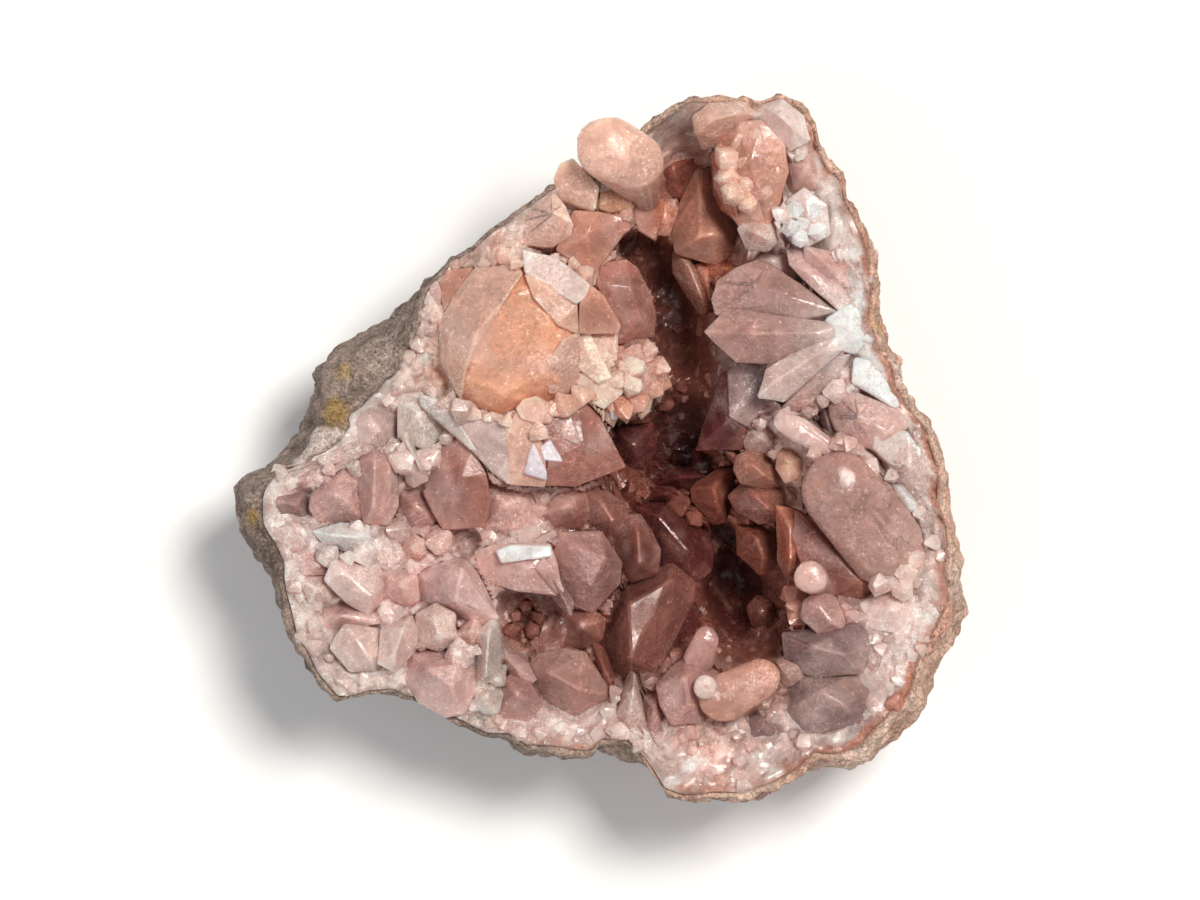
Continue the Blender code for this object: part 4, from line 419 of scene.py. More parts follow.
     ((10.2, 36.6), (12.0, 38.0), (15.6, 38.2), (17.0, 36.8), (15.0, 35.4), (12.4, 34.4), (10.6, 34.8))),
    ("north-east rim", "frost", 33, ((19.6, 36.8, 36.0), (21.4, 35.0, 36.0)),
     ((17.6, 37.9), (20.0, 38.4), (22.2, 36.6), (23.0, 34.0), (21.0, 33.0), (18.4, 34.4), (17.4, 36.0))),
    ("sugar", "frost", 31, ((17.2, 23.8, 34.0), (18.4, 23.2, 34.0)),
     ((15.2, 24.4), (16.8, 25.4), (19.0, 24.8), (19.6, 23.0), (18.4, 21.9), (16.2, 22.2))),
    ("hall", "hollow", 22, ((8.0, 31.0, 25.5),),
     ((6.4, 31.0), (8.6, 33.4), (11.6, 33.2), (10.0, 30.6), (9.2, 28.0), (7.4, 28.6))),
    ("heather", "rose", 32, ((22.6, 31.0, 34.5),),
     ((20.8, 31.6), (23.2, 32.6), (24.4, 30.6), (24.2, 28.2), (21.4, 28.8))),
    ("thistle", "milk", 31.5, ((26.0, 25.2, 34.0),),
     ((24.6, 27.2), (26.4, 27.2), (27.4, 24.6), (27.4, 22.4), (25.4, 22.0), (24.2, 24.6))),
    ("vetch", "rose", 31, ((25.0, 20.2, 33.6),),
     ((22.6, 22.4), (25.4, 21.8), (27.8, 19.8), (27.8, 17.4), (25.0, 18.2), (22.8, 20.4))),
)

# Crystals given by their corners: name, colour, corners and, for one that leans, the place of its root.
FACED = (
    # North-west edge.
    ("stub", "blush",
     ((-3.0, 32.1, 33.8), (-4.5, 31.5, 33.6), (-5.2, 29.8, 33.2), (-4.8, 27.4, 32.0), (-0.4, 26.3, 33.8),
      (0.0, 28.9, 34.4), (-1.9, 30.6, 34.6))),
    ("brow", "peach",
     ((-9.8, 25.0, 30.6), (-8.6, 26.9, 30.8), (-6.4, 27.9, 31.8), (-5.2, 28.4, 32.4), (-3.8, 26.8, 33.6),
      (-2.9, 24.6, 33.9), (-3.2, 23.6, 33.2), (-5.2, 22.2, 32.0), (-9.4, 22.6, 30.4), (-5.2, 26.0, 34.2))),
    ("wedge", "salmon",
     ((-3.0, 26.3, 32.6), (-0.4, 26.2, 32.8), (2.9, 25.6, 31.8), (3.3, 24.4, 31.2), (1.5, 23.3, 31.0),
      (0.1, 20.6, 31.0), (-0.8, 19.2, 31.2), (-5.0, 21.9, 32.2), (-1.4, 23.6, 33.7))),
    ("shade", "ember",
     ((0.0, 28.9, 32.2), (3.9, 28.2, 31.0), (3.4, 26.4, 31.0), (1.0, 26.1, 31.8), (-0.2, 26.6, 32.4))),
    ("dewdrop", "russet",
     ((1.6, 26.0, 32.0), (3.2, 25.8, 32.0), (3.4, 24.2, 31.6), (2.0, 23.3, 31.4), (1.2, 24.4, 32.2))),
    ("mist", "russet",
     ((3.6, 26.6, 28.2), (4.6, 28.3, 28.6), (7.2, 27.6, 27.4), (7.0, 26.2, 27.0), (6.2, 23.0, 26.0),
      (4.2, 24.2, 27.4))),
    # The great crystal: its body, its pale left face, its right edge and the frosted slab across its top.
    ("ember", "ember",
     ((-13.6, 19.9, 31.8), (-17.7, 13.6, 30.8), (-17.4, 9.5, 30.3), (-15.2, 5.0, 30.5), (-11.0, 3.9, 31.0),
      (-6.5, 5.0, 31.6), (-3.0, 6.4, 32.0), (-2.4, 11.0, 33.5), (-2.4, 15.8, 35.0), (-5.0, 18.6, 35.0),
      (-9.0, 20.2, 33.5), (-13.6, 12.4, 35.4), (-9.6, 17.2, 36.2), (-5.6, 14.5, 36.2), (-5.6, 8.2, 35.0),
      (-10.5, 6.0, 34.4), (-14.4, 7.6, 34.2))),
    ("ember face", "blush",
     ((-17.9, 13.5, 31.3), (-16.3, 17.0, 31.7), (-13.7, 20.1, 32.3), (-9.0, 20.4, 33.7), (-8.4, 19.4, 35.4),
      (-10.0, 17.0, 36.6), (-13.6, 12.6, 35.9), (-14.8, 8.6, 34.6), (-15.4, 5.2, 31.5),
      (-17.6, 9.5, 30.7))),
    ("ember edge", "peach",
     ((-5.7, 6.0, 33.2), (-5.8, 9.5, 35.5), (-4.0, 12.2, 36.2), (-2.2, 13.0, 34.6), (-2.2, 8.0, 33.0),
      (-3.0, 6.2, 32.2))),
    ("ember crest", "blush",
     ((-8.3, 19.3, 35.8), (-4.8, 18.2, 36.6), (-2.4, 16.0, 36.4), (-2.3, 12.6, 35.0), (-4.6, 13.6, 36.4),
      (-7.4, 16.6, 36.7))),
    ("cap", "frost",
     ((-8.5, 21.9, 35.4), (-5.0, 21.1, 36.4), (-3.2, 19.9, 36.9), (-1.0, 18.0, 37.3), (-1.6, 16.6, 37.1),
      (-2.6, 15.8, 36.9), (-4.2, 16.8, 36.8), (-4.8, 18.3, 36.8), (-8.3, 19.4, 35.8))),
    ("cap foot", "salmon",
     ((-1.1, 18.1, 36.9), (0.4, 16.9, 36.4), (2.4, 13.6, 34.4), (2.0, 12.7, 34.0), (-2.4, 12.7, 34.8),
      (-2.3, 16.0, 36.7))),
    ("shield", "clay",
     ((0.1, 20.6, 30.0), (2.9, 21.1, 29.4), (4.2, 20.2, 29.0), (5.7, 17.4, 28.4), (6.3, 14.9, 28.0),
      (6.1, 12.4, 27.8), (2.0, 11.6, 29.6), (-0.4, 18.4, 31.2), (3.4, 18.0, 31.0),
      (4.4, 14.5, 30.4)), (1.0, 15.0, 15.0)),
    ("ledge", "salmon",
     ((-18.0, 18.2, 30.8), (-16.8, 19.8, 31.2), (-13.9, 20.2, 32.0), (-15.6, 17.6, 31.8),
      (-17.2, 15.0, 31.2))),
    ("crumb", "rose",
     ((-18.9, 18.0, 30.8), (-18.0, 18.8, 31.4), (-17.4, 17.4, 31.6), (-17.7, 16.0, 31.2),
      (-18.8, 16.6, 30.6))),
    # The broad kite over the middle of the hollow, with the crystals on it and pale slivers laid on it as
    # painted reflections and a painted highlight.
    ("prow", "clay",
     ((0.1, 3.7, 30.8), (3.0, -1.9, 29.8), (-2.6, -4.1, 30.0), (-6.0, -4.0, 31.0), (-5.6, -1.3, 33.2),
      (-6.6, 2.6, 33.3), (-4.0, 5.2, 32.6), (-2.0, 5.9, 31.8), (-2.0, 0.6, 32.9)), (-7.0, 0.0, 18.0)),
    ("prow side", "blush",
     ((-5.9, -1.2, 33.4), (-6.8, 2.8, 33.5), (-9.2, 4.4, 33.0), (-10.4, 2.4, 33.0), (-10.0, -3.9, 30.8),
      (-6.0, -4.2, 31.0), (-5.8, -3.4, 31.6)), (-8.0, 0.0, 18.0)),
    ("button", "peach",
     ((-9.3, 4.6, 33.6), (-8.4, 5.6, 34.0), (-7.0, 6.0, 34.4), (-6.1, 5.4, 34.5), (-5.8, 3.9, 34.3),
      (-7.2, 2.9, 33.9), (-8.8, 3.4, 33.6))),
    ("stud", "peach",
     ((-5.6, 5.5, 33.8), (-4.2, 5.3, 33.8), (-3.8, 4.2, 33.4), (-4.4, 3.6, 33.6), (-5.7, 3.8, 34.0))),
    # Painted reflections: two pale lilac slivers where small facets mirror the light.
    ("upper mirror", "lilac",
     ((-5.4, 1.2, 33.5), (-4.0, -1.3, 33.2), (-6.2, -1.2, 33.6), (-6.5, 0.4, 33.7))),
    ("lower mirror", "lilac",
     ((-7.3, 0.8, 33.6), (-6.5, -0.8, 33.7), (-5.8, -2.4, 33.0), (-5.8, -3.4, 32.4), (-8.4, -2.6, 32.6),
      (-7.8, -0.2, 33.3))),
    ("bench", "haze",
     ((-15.8, 3.0, 31.2), (-13.6, 3.5, 31.8), (-10.3, 2.9, 32.6), (-9.2, 0.2, 32.6), (-10.0, -3.9, 30.8),
      (-12.0, -2.4, 30.4), (-14.2, 0.0, 30.6))),
    ("bench rib", "milk",
     ((-20.0, 6.2, 30.2), (-18.0, 5.8, 30.8), (-15.6, 3.2, 31.8), (-13.4, -0.2, 31.2), (-14.3, 0.0, 30.8),
      (-16.6, 2.4, 30.8), (-19.8, 4.8, 29.8))),
    ("smoke", "clay",
     ((-17.2, 1.0, 28.2), (-15.2, 1.6, 29.2), (-14.0, 0.2, 29.6), (-12.4, -2.6, 29.6), (-12.0, -5.8, 29.0),
      (-12.6, -8.6, 28.4), (-17.4, -8.9, 27.6), (-19.6, -4.8, 27.0), (-18.6, -2.0, 27.4),
      (-15.4, -3.0, 30.2))),
    ("hood", "rose",
     ((-14.0, -11.2, 27.6), (-11.9, -10.3, 28.6), (-5.4, -10.2, 29.6), (-4.6, -12.6, 29.6),
      (-4.0, -16.2, 28.2), (-6.0, -15.8, 28.6), (-9.2, -15.6, 28.0), (-13.0, -14.6, 27.0),
      (-8.0, -13.0, 30.4))),
    # Painted highlight: a white band where the light glares off the hood.
    ("glare", "snow",
     ((-11.6, -11.0, 29.8), (-9.8, -10.4, 30.4), (-5.4, -10.5, 30.8), (-5.2, -11.7, 30.9),
      (-8.0, -12.0, 31.0), (-10.9, -12.5, 30.4))),
    ("glare tail", "rose",
     ((-6.2, -11.8, 30.6), (-4.8, -13.4, 30.4), (-3.8, -15.6, 29.4), (-4.6, -16.0, 29.0),
      (-7.2, -13.0, 30.6))),
    # The cluster beside the great crystal, its tips hanging over the hollow.
    ("posy back", "peach",
     ((-1.6, 13.4, 32.4), (2.0, 13.3, 32.2), (1.9, 9.8, 33.0), (0.6, 9.3, 33.2), (-1.2, 9.8, 33.4))),
    ("posy side", "salmon",
     ((2.3, 10.9, 31.6), (3.6, 11.6, 31.4), (6.1, 11.9, 30.8), (5.9, 9.8, 31.6), (4.0, 9.0, 32.4),
      (2.3, 9.6, 32.4))),
    ("posy front", "sand",
     ((-2.6, 13.2, 33.0), (-1.2, 13.2, 33.2), (-0.8, 9.6, 34.0), (0.8, 9.2, 33.8), (1.4, 7.9, 33.6),
      (-0.2, 7.2, 33.6), (-2.6, 9.0, 33.2))),
    ("posy east", "salmon",
     ((3.8, 9.9, 32.0), (7.1, 9.6, 30.6), (8.0, 7.0, 30.0), (6.9, 6.4, 30.2), (4.4, 5.8, 31.2),
      (4.2, 8.0, 32.4))),
    ("posy west", "sand",
     ((-3.2, 8.6, 32.6), (-0.6, 8.2, 33.2), (2.4, 7.8, 32.8), (2.6, 6.2, 32.2), (0.4, 4.3, 31.6),
      (-2.2, 5.9, 32.2))),
    ("posy middle", "salmon",
     ((2.0, 9.9, 32.6), (4.4, 9.6, 32.6), (4.8, 6.4, 32.0), (3.0, 5.6, 31.8), (1.8, 7.4, 32.8))),
    # The first tip's snow white is a painted glint.
    ("first tip", "snow",
     ((0.9, 4.8, 31.2), (2.0, 4.5, 31.0), (2.0, 3.2, 30.0), (1.2, 3.2, 30.2)), (2.6, 8.0, 22.0)),
    ("second tip", "blush",
     ((0.6, 4.6, 30.8), (2.2, 3.8, 30.2), (1.5, 2.2, 28.6), (0.4, 3.2, 29.6)), (2.6, 8.0, 22.0)),
    ("third tip", "salmon",
     ((2.0, 6.0, 31.2), (3.9, 5.2, 30.8), (3.6, 3.6, 29.6), (2.9, 2.6, 28.6),
      (2.2, 3.8, 29.8)), (2.6, 8.0, 22.0)),
    ("fourth tip", "blush",
     ((3.8, 6.4, 31.0), (6.0, 6.0, 30.4), (5.6, 4.2, 29.6), (4.6, 3.1, 28.8),
      (3.8, 4.4, 30.0)), (3.2, 8.0, 22.0)),
    ("fifth tip", "smoke",
     ((5.8, 6.8, 29.8), (7.0, 6.4, 29.2), (6.7, 5.0, 28.2), (6.1, 5.4, 28.6)), (4.0, 8.0, 22.0)),
    # The fan of clear points on the east wall, spread from a white star whose white is partly a painted
    # highlight.
    ("fan middle", "petal",
     ((11.2, 13.0, 31.0), (13.8, 15.7, 31.0), (16.0, 15.4, 31.4), (22.0, 14.4, 32.0), (27.0, 13.8, 32.4),
      (26.4, 11.6, 32.0), (20.2, 10.1, 31.0), (18.6, 9.4, 30.6), (15.0, 9.5, 30.4), (12.6, 11.6, 30.6),
      (17.0, 12.8, 33.2), (24.0, 12.8, 33.4)), (26.5, 12.5, 26.0)),
    ("fan upper", "petal",
     ((12.1, 16.6, 29.2), (12.7, 18.7, 29.2), (14.8, 20.2, 29.4), (17.2, 21.0, 29.8), (18.6, 20.6, 30.2),
      (22.4, 18.0, 31.2), (26.0, 15.2, 32.0), (22.0, 14.2, 31.4), (14.2, 15.0, 30.4), (12.5, 14.8, 29.8),
      (17.0, 18.2, 31.6), (22.0, 16.4, 32.4)), (26.0, 14.5, 25.0)),
    ("fan top", "rose",
     ((20.3, 22.4, 29.6), (22.4, 22.0, 30.0), (24.8, 20.0, 31.0), (27.7, 16.6, 32.0), (26.4, 15.0, 32.2),
      (23.2, 17.8, 31.8), (20.6, 20.4, 30.4), (23.0, 19.6, 32.2)), (28.0, 15.0, 27.0)),
    ("fan lower", "haze",
     ((17.1, 5.6, 30.2), (18.1, 8.9, 30.6), (20.0, 10.1, 31.2), (23.4, 12.0, 32.0), (26.4, 12.6, 32.6),
      (26.8, 11.0, 32.4), (23.6, 8.2, 31.2), (20.2, 5.1, 30.0), (19.6, 7.8, 32.0),
      (24.6, 11.0, 33.1)), (27.0, 12.0, 26.0)),
    ("fan foot", "petal",
     ((19.8, 4.6, 28.8), (22.0, 6.4, 30.2), (25.6, 10.4, 31.8), (27.6, 10.6, 32.0), (26.2, 8.0, 31.0),
      (23.2, 5.0, 29.6), (21.5, 3.9, 28.6)), (27.0, 9.0, 26.0)),
    # The star's white is partly a painted highlight.
    ("star", "snow",
     ((24.8, 14.6, 32.2), (27.4, 16.2, 32.4), (29.2, 15.2, 32.4), (29.6, 12.2, 32.4), (28.2, 10.4, 32.2),
      (25.4, 11.2, 32.2), (27.4, 13.2, 33.6))),
    ("drift", "snow",
     ((27.8, 10.2, 31.8), (30.4, 10.6, 32.4), (32.2, 7.4, 32.4), (33.6, 4.8, 32.0), (32.2, 4.6, 32.4),
      (30.2, 6.4, 32.4), (27.6, 7.4, 31.8)), (29.4, 6.6, 27.0)),
    # The dark obelisk under the fan.
    ("obelisk", "wine",
     ((13.4, 8.8, 24.0), (15.2, 9.6, 25.0), (17.4, 6.0, 25.4), (16.2, 2.2, 25.0), (15.9, -0.1, 23.8),
      (10.5, -0.1, 22.0), (11.9, 3.6, 23.0), (14.3, 3.4, 25.8)), (15.8, 4.0, 13.0)),
    ("obelisk veil", "smoke",
     ((14.0, 8.9, 25.2), (15.6, 9.7, 25.6), (18.1, 9.3, 26.0), (17.4, 6.0, 26.2), (18.8, 5.2, 26.0),
      (16.4, 2.4, 25.6), (14.2, 3.6, 26.2)), (16.8, 6.0, 13.0)),
    ("saddle", "rose",
     ((25.1, 5.0, 29.6), (25.8, 6.5, 30.4), (28.0, 6.6, 31.4), (30.4, 5.2, 32.0), (33.6, 4.2, 32.0),
      (34.0, 2.4, 32.0), (30.2, -0.2, 31.6), (28.6, 0.4, 30.8), (26.0, 2.0, 29.8), (25.2, 3.6, 29.4),
      (28.4, 3.6, 32.8), (31.6, 1.8, 33.2))),
    ("thumb body", "petal",
     ((22.8, -6.6, 30.4), (24.6, -1.4, 32.4), (29.0, -0.9, 32.4), (32.0, -3.8, 32.4), (35.4, -8.6, 31.6),
      (36.2, -12.0, 30.4), (32.6, -14.4, 29.6), (27.6, -10.8, 30.2), (28.0, -4.6, 34.5),
      (32.4, -9.4, 33.4))),
    ("berry lump", "salmon",
     ((12.3, 32.4, 30.0), (13.0, 34.6, 31.5), (14.8, 36.2, 33.2), (17.8, 36.3, 33.6), (20.4, 33.6, 33.6),
      (20.8, 30.6, 33.4), (19.8, 27.0, 32.8), (18.6, 24.4, 31.8), (16.0, 23.4, 30.8), (14.0, 26.2, 30.2),
      (12.6, 29.4, 29.8), (16.4, 31.8, 34.8), (17.6, 27.8, 34.0))),
    ("berry cheek", "russet",
     ((12.2, 32.6, 30.2), (13.6, 33.8, 32.0), (14.8, 31.0, 33.4), (14.2, 28.2, 32.6), (15.2, 25.4, 31.6),
      (13.8, 26.4, 30.4), (12.5, 29.2, 30.0))),
    ("rime lump", "frost",
     ((20.0, 24.0, 31.6), (20.4, 27.6, 33.0), (22.4, 28.9, 33.4), (25.0, 27.0, 33.4), (25.4, 23.6, 32.8),
      (22.8, 22.2, 32.0), (22.8, 25.6, 34.2))),
    ("saddle frost", "milk",
     ((30.2, 2.0, 32.6), (33.8, 2.2, 32.6), (35.4, 0.0, 32.2), (35.2, -2.0, 32.0), (32.0, -1.8, 32.0),
      (30.0, 0.2, 32.4))),
)

# Crystals worn round: name, colour and the balls, each x, y, z and radius, that the form is stretched over.
PEBBLES = (
    ("globe", "peach", ((0.9, 32.9, 36.2, 3.6), (3.9, 31.5, 35.6, 3.1), (5.0, 28.0, 27.0, 1.6))),
    ("thumb", "petal", ((26.2, -4.4, 30.9, 4.2), (31.4, -10.4, 27.4, 4.6), (29.0, -7.0, 24.0, 3.5))),
    ("pencil", "rose", ((20.2, 3.0, 29.8, 1.2), (21.8, 2.2, 30.0, 1.5), (24.6, 0.5, 29.8, 1.2))),
    ("bud", "rose", ((23.1, -14.0, 30.6, 1.8), (24.2, -14.6, 24.0, 1.6))),
    ("knee", "salmon", ((13.6, -27.2, 29.0, 2.8), (17.4, -25.2, 29.5, 2.3), (16.0, -28.0, 22.0, 1.8))),
    ("lozenge", "frost", ((11.6, -26.0, 31.5, 1.3), (11.8, -27.0, 24.0, 1.3))),
    ("horn", "mauve", ((11.8, -20.8, 27.5, 1.4), (11.0, -23.0, 26.5, 1.7), (10.5, -25.0, 20.0, 1.6))),
)

# Clusters of small points: name, colour, root, width of a point, height of the tips and where they are.
ROSETTES = (
    ("thumb end", "frost", (33.0, -14.0, 26.0), 2.6, 32.4,
     ((31.6, -14.6), (33.8, -13.4), (35.0, -11.2), (33.4, -15.8), (30.0, -15.0))),
    ("nook points", "umber", (-8.0, -19.0, 14.0), 1.9, 21.0,
     ((-9.8, -18.2), (-7.4, -20.4), (-6.4, -18.4), (-8.6, -21.4), (-10.4, -20.4), (-8.2, -16.8))),
    ("fringe", "russet", (23.5, -17.2, 23.0), 2.6, 27.0, ((20.2, -15.2), (20.5, -17.2), (20.9, -19.2))),
    ("posy points", "salmon", (0.0, 10.4, 25.0), 2.5, 32.0,
     ((6.4, 11.0), (7.8, 8.8), (7.0, 6.2), (5.0, 4.4), (3.2, 3.4), (1.4, 4.2), (-0.8, 5.4), (2.6, 10.4))),
    ("posy middle points", "sand", (0.4, 10.0, 27.0), 2.4, 33.8,
     ((4.8, 8.8), (2.4, 7.0), (4.4, 6.4), (0.2, 7.6), (0.6, 10.0))),
    ("berry", "peach", (16.6, 30.4, 26.0), 3.0, 34.6,
     ((13.2, 32.4), (13.4, 29.8), (14.2, 27.6), (15.2, 34.6), (17.2, 35.2), (16.0, 32.0), (18.6, 33.0),
      (19.6, 30.8), (16.2, 29.0), (18.4, 28.2), (16.4, 26.4))),
    ("rime", "snow", (22.4, 25.4, 27.0), 2.2, 34.6,
     ((20.6, 24.2), (21.2, 26.6), (22.6, 28.0), (22.6, 25.0), (23.8, 26.4), (21.8, 22.8), (24.2, 23.8))),
)

# Large lumps on the rock, each x, y, radius, height and how pale it is.
KNOBS = (
    (-29.0, 6.6, 5.2, 2.8, 0.0),
    (-30.6, -0.4, 3.8, 3.0, 1.0),
    (-38.0, -5.2, 3.6, 2.2, 0.1),
    (-37.2, -11.0, 3.4, 1.6, 0.0),
    (-25.0, 11.0, 3.6, 1.8, 0.2),
    (34.0, 9.0, 2.8, 1.4, 0.6),
    (36.6, 3.0, 2.6, 1.2, 0.0),
    (38.6, -14.0, 3.2, 1.5, 0.2),
    (34.0, -28.0, 3.4, 1.6, 0.0),
    (28.0, -34.0, 3.0, 1.2, 0.3),
)

# Ochre stains, each x, y and radius.
OCHRE_SPOTS = (
    (-28.8, 9.2, 1.3),
    (-29.2, 4.2, 1.6),
    (31.6, 14.4, 1.6),
    (-38.6, -7.4, 0.9),
    (-26.4, 12.6, 1.0),
)

# ---------------------------------------------------------------- the nodule's form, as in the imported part


def around(table):
    """Headings in degrees and values of a closed table, sorted for interpolation."""
    rows = sorted((heading % 360, value) for heading, value in table)
    return [row[0] for row in rows], [row[1] for row in rows]


REACH = around((math.degrees(math.atan2(y, x)), math.hypot(x, y)) for x, y in OUTLINE)
BARE = around(BARE_ROCK)


def clamp(value, highest=1.0):
    """The value, kept between zero and the highest one."""
    return max(0.0, min(highest, value))


def middle_of(outline):
    """The mean place of an outline's corners."""
    x = sum(place[0] for place in outline) / len(outline)
    y = sum(place[1] for place in outline) / len(outline)
    return x, y


def reach(heading, blur=0.0):
    """Distance from the middle to the outline, averaged over this many degrees to either side."""
    places = np.array([heading + blur * step for step in (-1, -0.6, -0.2, 0.2, 0.6, 1)]) % 360
    return float(np.mean(np.interp(places, *REACH, period=360)))


def bare(heading):
    """Width of the bare rock inside the outline."""
    return float(np.interp(heading % 360, *BARE, period=360))


def point(heading, radius, height):
    """A place given by its heading in degrees and its distance from the middle."""
    angle = math.radians(heading)
    return Vector((radius * math.cos(angle), radius * math.sin(angle), height))


def lump(place, size=9.0):
    """Roughness of the rock at a place, from about -1 to 1, with bumps about this wide."""
    return noise.noise(place / size) + 0.5 * noise.noise(place / (0.4 * size))


def rim_height(heading):
    """Height of the broken edge of the rock."""
    jag = RIM_JAG * lump(point(heading, JAG_RADIUS, 0.0))
    return RIM_MEAN + RIM_SWING * math.cos(math.radians(heading - RIM_HIGH_SIDE)) + jag


def outside(heading, rise):
    """A point on the outer skin: rise is 0 at the middle of the foot, 1 at the belt and 2 at the edge."""
    width = reach(heading, FOOT_BLUR * max(0.0, 1 - rise))
    if rise <= 1:
        turn = rise * math.pi / 2
        radius = width * math.sin(turn) ** BACK_ROUNDNESS
        height = (BELT_HEIGHT + FOOT_CUT) * (1 - math.cos(turn)) - FOOT_CUT
    else:
        climb = rise - 1
        slope = max(bare(heading) - LIP_WIDTH, STEEPEST_BROW * bare(heading))
        radius = width - slope * climb**2
        height = BELT_HEIGHT + (rim_height(heading) - BELT_HEIGHT) * climb
    place = point(heading, radius, height)
    bulge = LUMP * lump(place, LUMP_WIDTH)
    if rise > 1:
        bulge = -abs(bulge)
    place += point(heading, 1.0, min(0.0, rise - 1)) * bulge * abs(math.sin(math.pi * rise))
    return place


def bowl(heading, share, gap=0.0):
    """A point on the rind's inner wall, moved in by gap: share is 0 at its middle and 1 at its edge."""
    radius = (reach(heading) - bare(heading) - gap) * share
    drop = 1 - math.sqrt(max(0.0, 1 - share**4))
    floor = FLOOR_THICKNESS + gap
    return point(heading, radius, floor + (rim_height(heading) - floor) * drop)


def swell(x, y, form):
    """How strongly a hollow or a rise acts at a place, from 0 to its depth."""
    centre_x, centre_y, half_length, half_width, heading, depth = form
    turn = math.radians(heading)
    across_x, across_y = x - centre_x, y - centre_y
    along = (across_x * math.cos(turn) + across_y * math.sin(turn)) / half_length
    aside = (across_y * math.cos(turn) - across_x * math.sin(turn)) / half_width
    return depth * math.exp(-((along**2 + aside**2) ** 1.5))


def share_of(x, y):
    """How far out a place lies in the hollow, 0 at its middle and 1 at the rock."""
    heading = math.degrees(math.atan2(y, x))
    return math.hypot(x, y) / (reach(heading) - bare(heading))


def bare_lining(x, y):
    """Height of the crust's upper surface before any crystal stands in it."""
    share = min(1.0, share_of(x, y))
    rim = rim_height(math.degrees(math.atan2(y, x)))
    height = RIM_MEAN + (rim - RIM_MEAN) * share**2 - SAG * (1 - share**4)
    height -= sum(swell(x, y, form) for form in HOLLOWS.values()) * (1 - share**6)
    height += sum(swell(x, y, form) for form in RISES.values()) * (1 - share**6)
    wave, width = LINING_WAVE
    return height + wave * lump(Vector((x, y, 3.0)), width) * (1 - share**6)


# ---------------------------------------------------------------- meshes


def loft(rings, first, last):
    """A closed mesh through rings of vertices, with a single point at each end."""
    mesh = bmesh.new()
    loops = [[mesh.verts.new(place * MM) for place in ring] for ring in rings]
    count = len(loops[0])
    for lower, upper in zip(loops, loops[1:]):
        for i in range(count):
            j = (i + 1) % count
            mesh.faces.new((lower[i], lower[j], upper[j], upper[i]))
    for ring, end in ((loops[0], first), (loops[-1], last)):
        tip = mesh.verts.new(end * MM)
        for i in range(count):
            mesh.faces.new((ring[i], ring[(i + 1) % count], tip))
    bmesh.ops.recalc_face_normals(mesh, faces=mesh.faces)
    return mesh


def add_object(name, mesh, collection=None):
    """Makes an object from a mesh under construction, which is freed."""
    data = bpy.data.meshes.new(name)
    mesh.to_mesh(data)
    mesh.free()
    made = bpy.data.objects.new(name, data)
    (collection or bpy.context.scene.collection).objects.link(made)
    return made


def hull(places):
    """The convex solid over some points."""
    mesh = bmesh.new()
    for place in places:
        mesh.verts.new(place * MM)
    done = bmesh.ops.convex_hull(mesh, input=mesh.verts)
    bmesh.ops.delete(mesh, geom=done["geom_interior"], context="VERTS")
    bmesh.ops.dissolve_limit(mesh, angle_limit=math.radians(2), verts=mesh.verts, edges=mesh.edges)
    bmesh.ops.recalc_face_normals(mesh, faces=mesh.faces)
    return mesh


def round_edges(mesh, width):
    """Wears the sharper edges of a crystal."""
    sharp = [edge for edge in mesh.edges if edge.calc_face_angle(0.0) > WORN_ANGLE]
    bmesh.ops.bevel(mesh, geom=sharp, offset=width * MM, segments=1, affect="EDGES", clamp_overlap=True)


def tint(mesh, colour_at):
    """Stores a colour on every corner of a mesh's faces, given a vertex."""
    layer = mesh.loops.layers.float_color.new("tint")
    for vertex in mesh.verts:
        shade = (*(min(value, 0.95) for value in colour_at(vertex)), 1.0)
        for corner in vertex.link_loops:
            corner[layer] = shade


def clouded(colour, place):
    """A colour with the pale clouds that pass through neighbouring crystals, and whitened around the star,
    partly as a painted highlight.
    """
    cloud = 0.9 * (lump(place, 7.0) - 0.05) + 0.3 * lump(place, 1.8)
    # Painted shade: no pale clouds deep in the hollows, so that they stay dark.
    cloud *= clamp((place.z - PIT_BELOW) / 8.0)
    colour = colour.lerp(Vector(PALETTE["haze"]), clamp(cloud, CLOUDINESS))
    # Whiter around the star: a milky root, partly a painted highlight.
    far = math.hypot(place.x - STAR[0], place.y - STAR[1]) / STAR_REACH
    return colour.lerp(Vector(PALETTE["snow"]), 0.5 * math.exp(-far * far))


def paint(mesh, colour):
    """Colours a crystal: deeper in the middle of its top and paler towards its outline, as a painted glow,
    with its sharper edges paler still, as wear and a painted highlight.
    """
    places = np.array([vertex.co[:] for vertex in mesh.verts])
    centre = Vector(places.mean(axis=0))
    widest = max(np.linalg.norm((places - places.mean(axis=0))[:, :2], axis=1))

    def colour_at(vertex):
        # Painted glow: the colour is paler towards the outline, as if light shone through the thinner edges,
        # and deeper in the middle.
        out = ((vertex.co - centre).xy.length / widest) ** 2
        shade = Vector(colour) * (MIDDLE_SHADE + (OUTLINE_GLOW - MIDDLE_SHADE) * out)
        shade *= 1 + COLOUR_UNEVEN * lump(vertex.co / MM, 2.2)
        # Worn edges, and a painted highlight along them: the sharper edges are paler.
        if any(edge.calc_face_angle(0.0) > PALE_ANGLE for edge in vertex.link_edges):
            shade *= 1 + EDGE_WEAR_AND_HIGHLIGHT
        return clouded(shade, vertex.co / MM)

    tint(mesh, colour_at)


def shifted(colour, rng, spread=0.10):
    """A palette colour with a little of the variation between neighbouring crystals."""
    light = 1 + rng.uniform(-spread, spread)
    warm = rng.uniform(-0.4, 0.4) * spread
    red, green, blue = PALETTE[colour]
    return min(red * light * (1 + warm), 0.97), green * light, blue * light * (1 - warm)


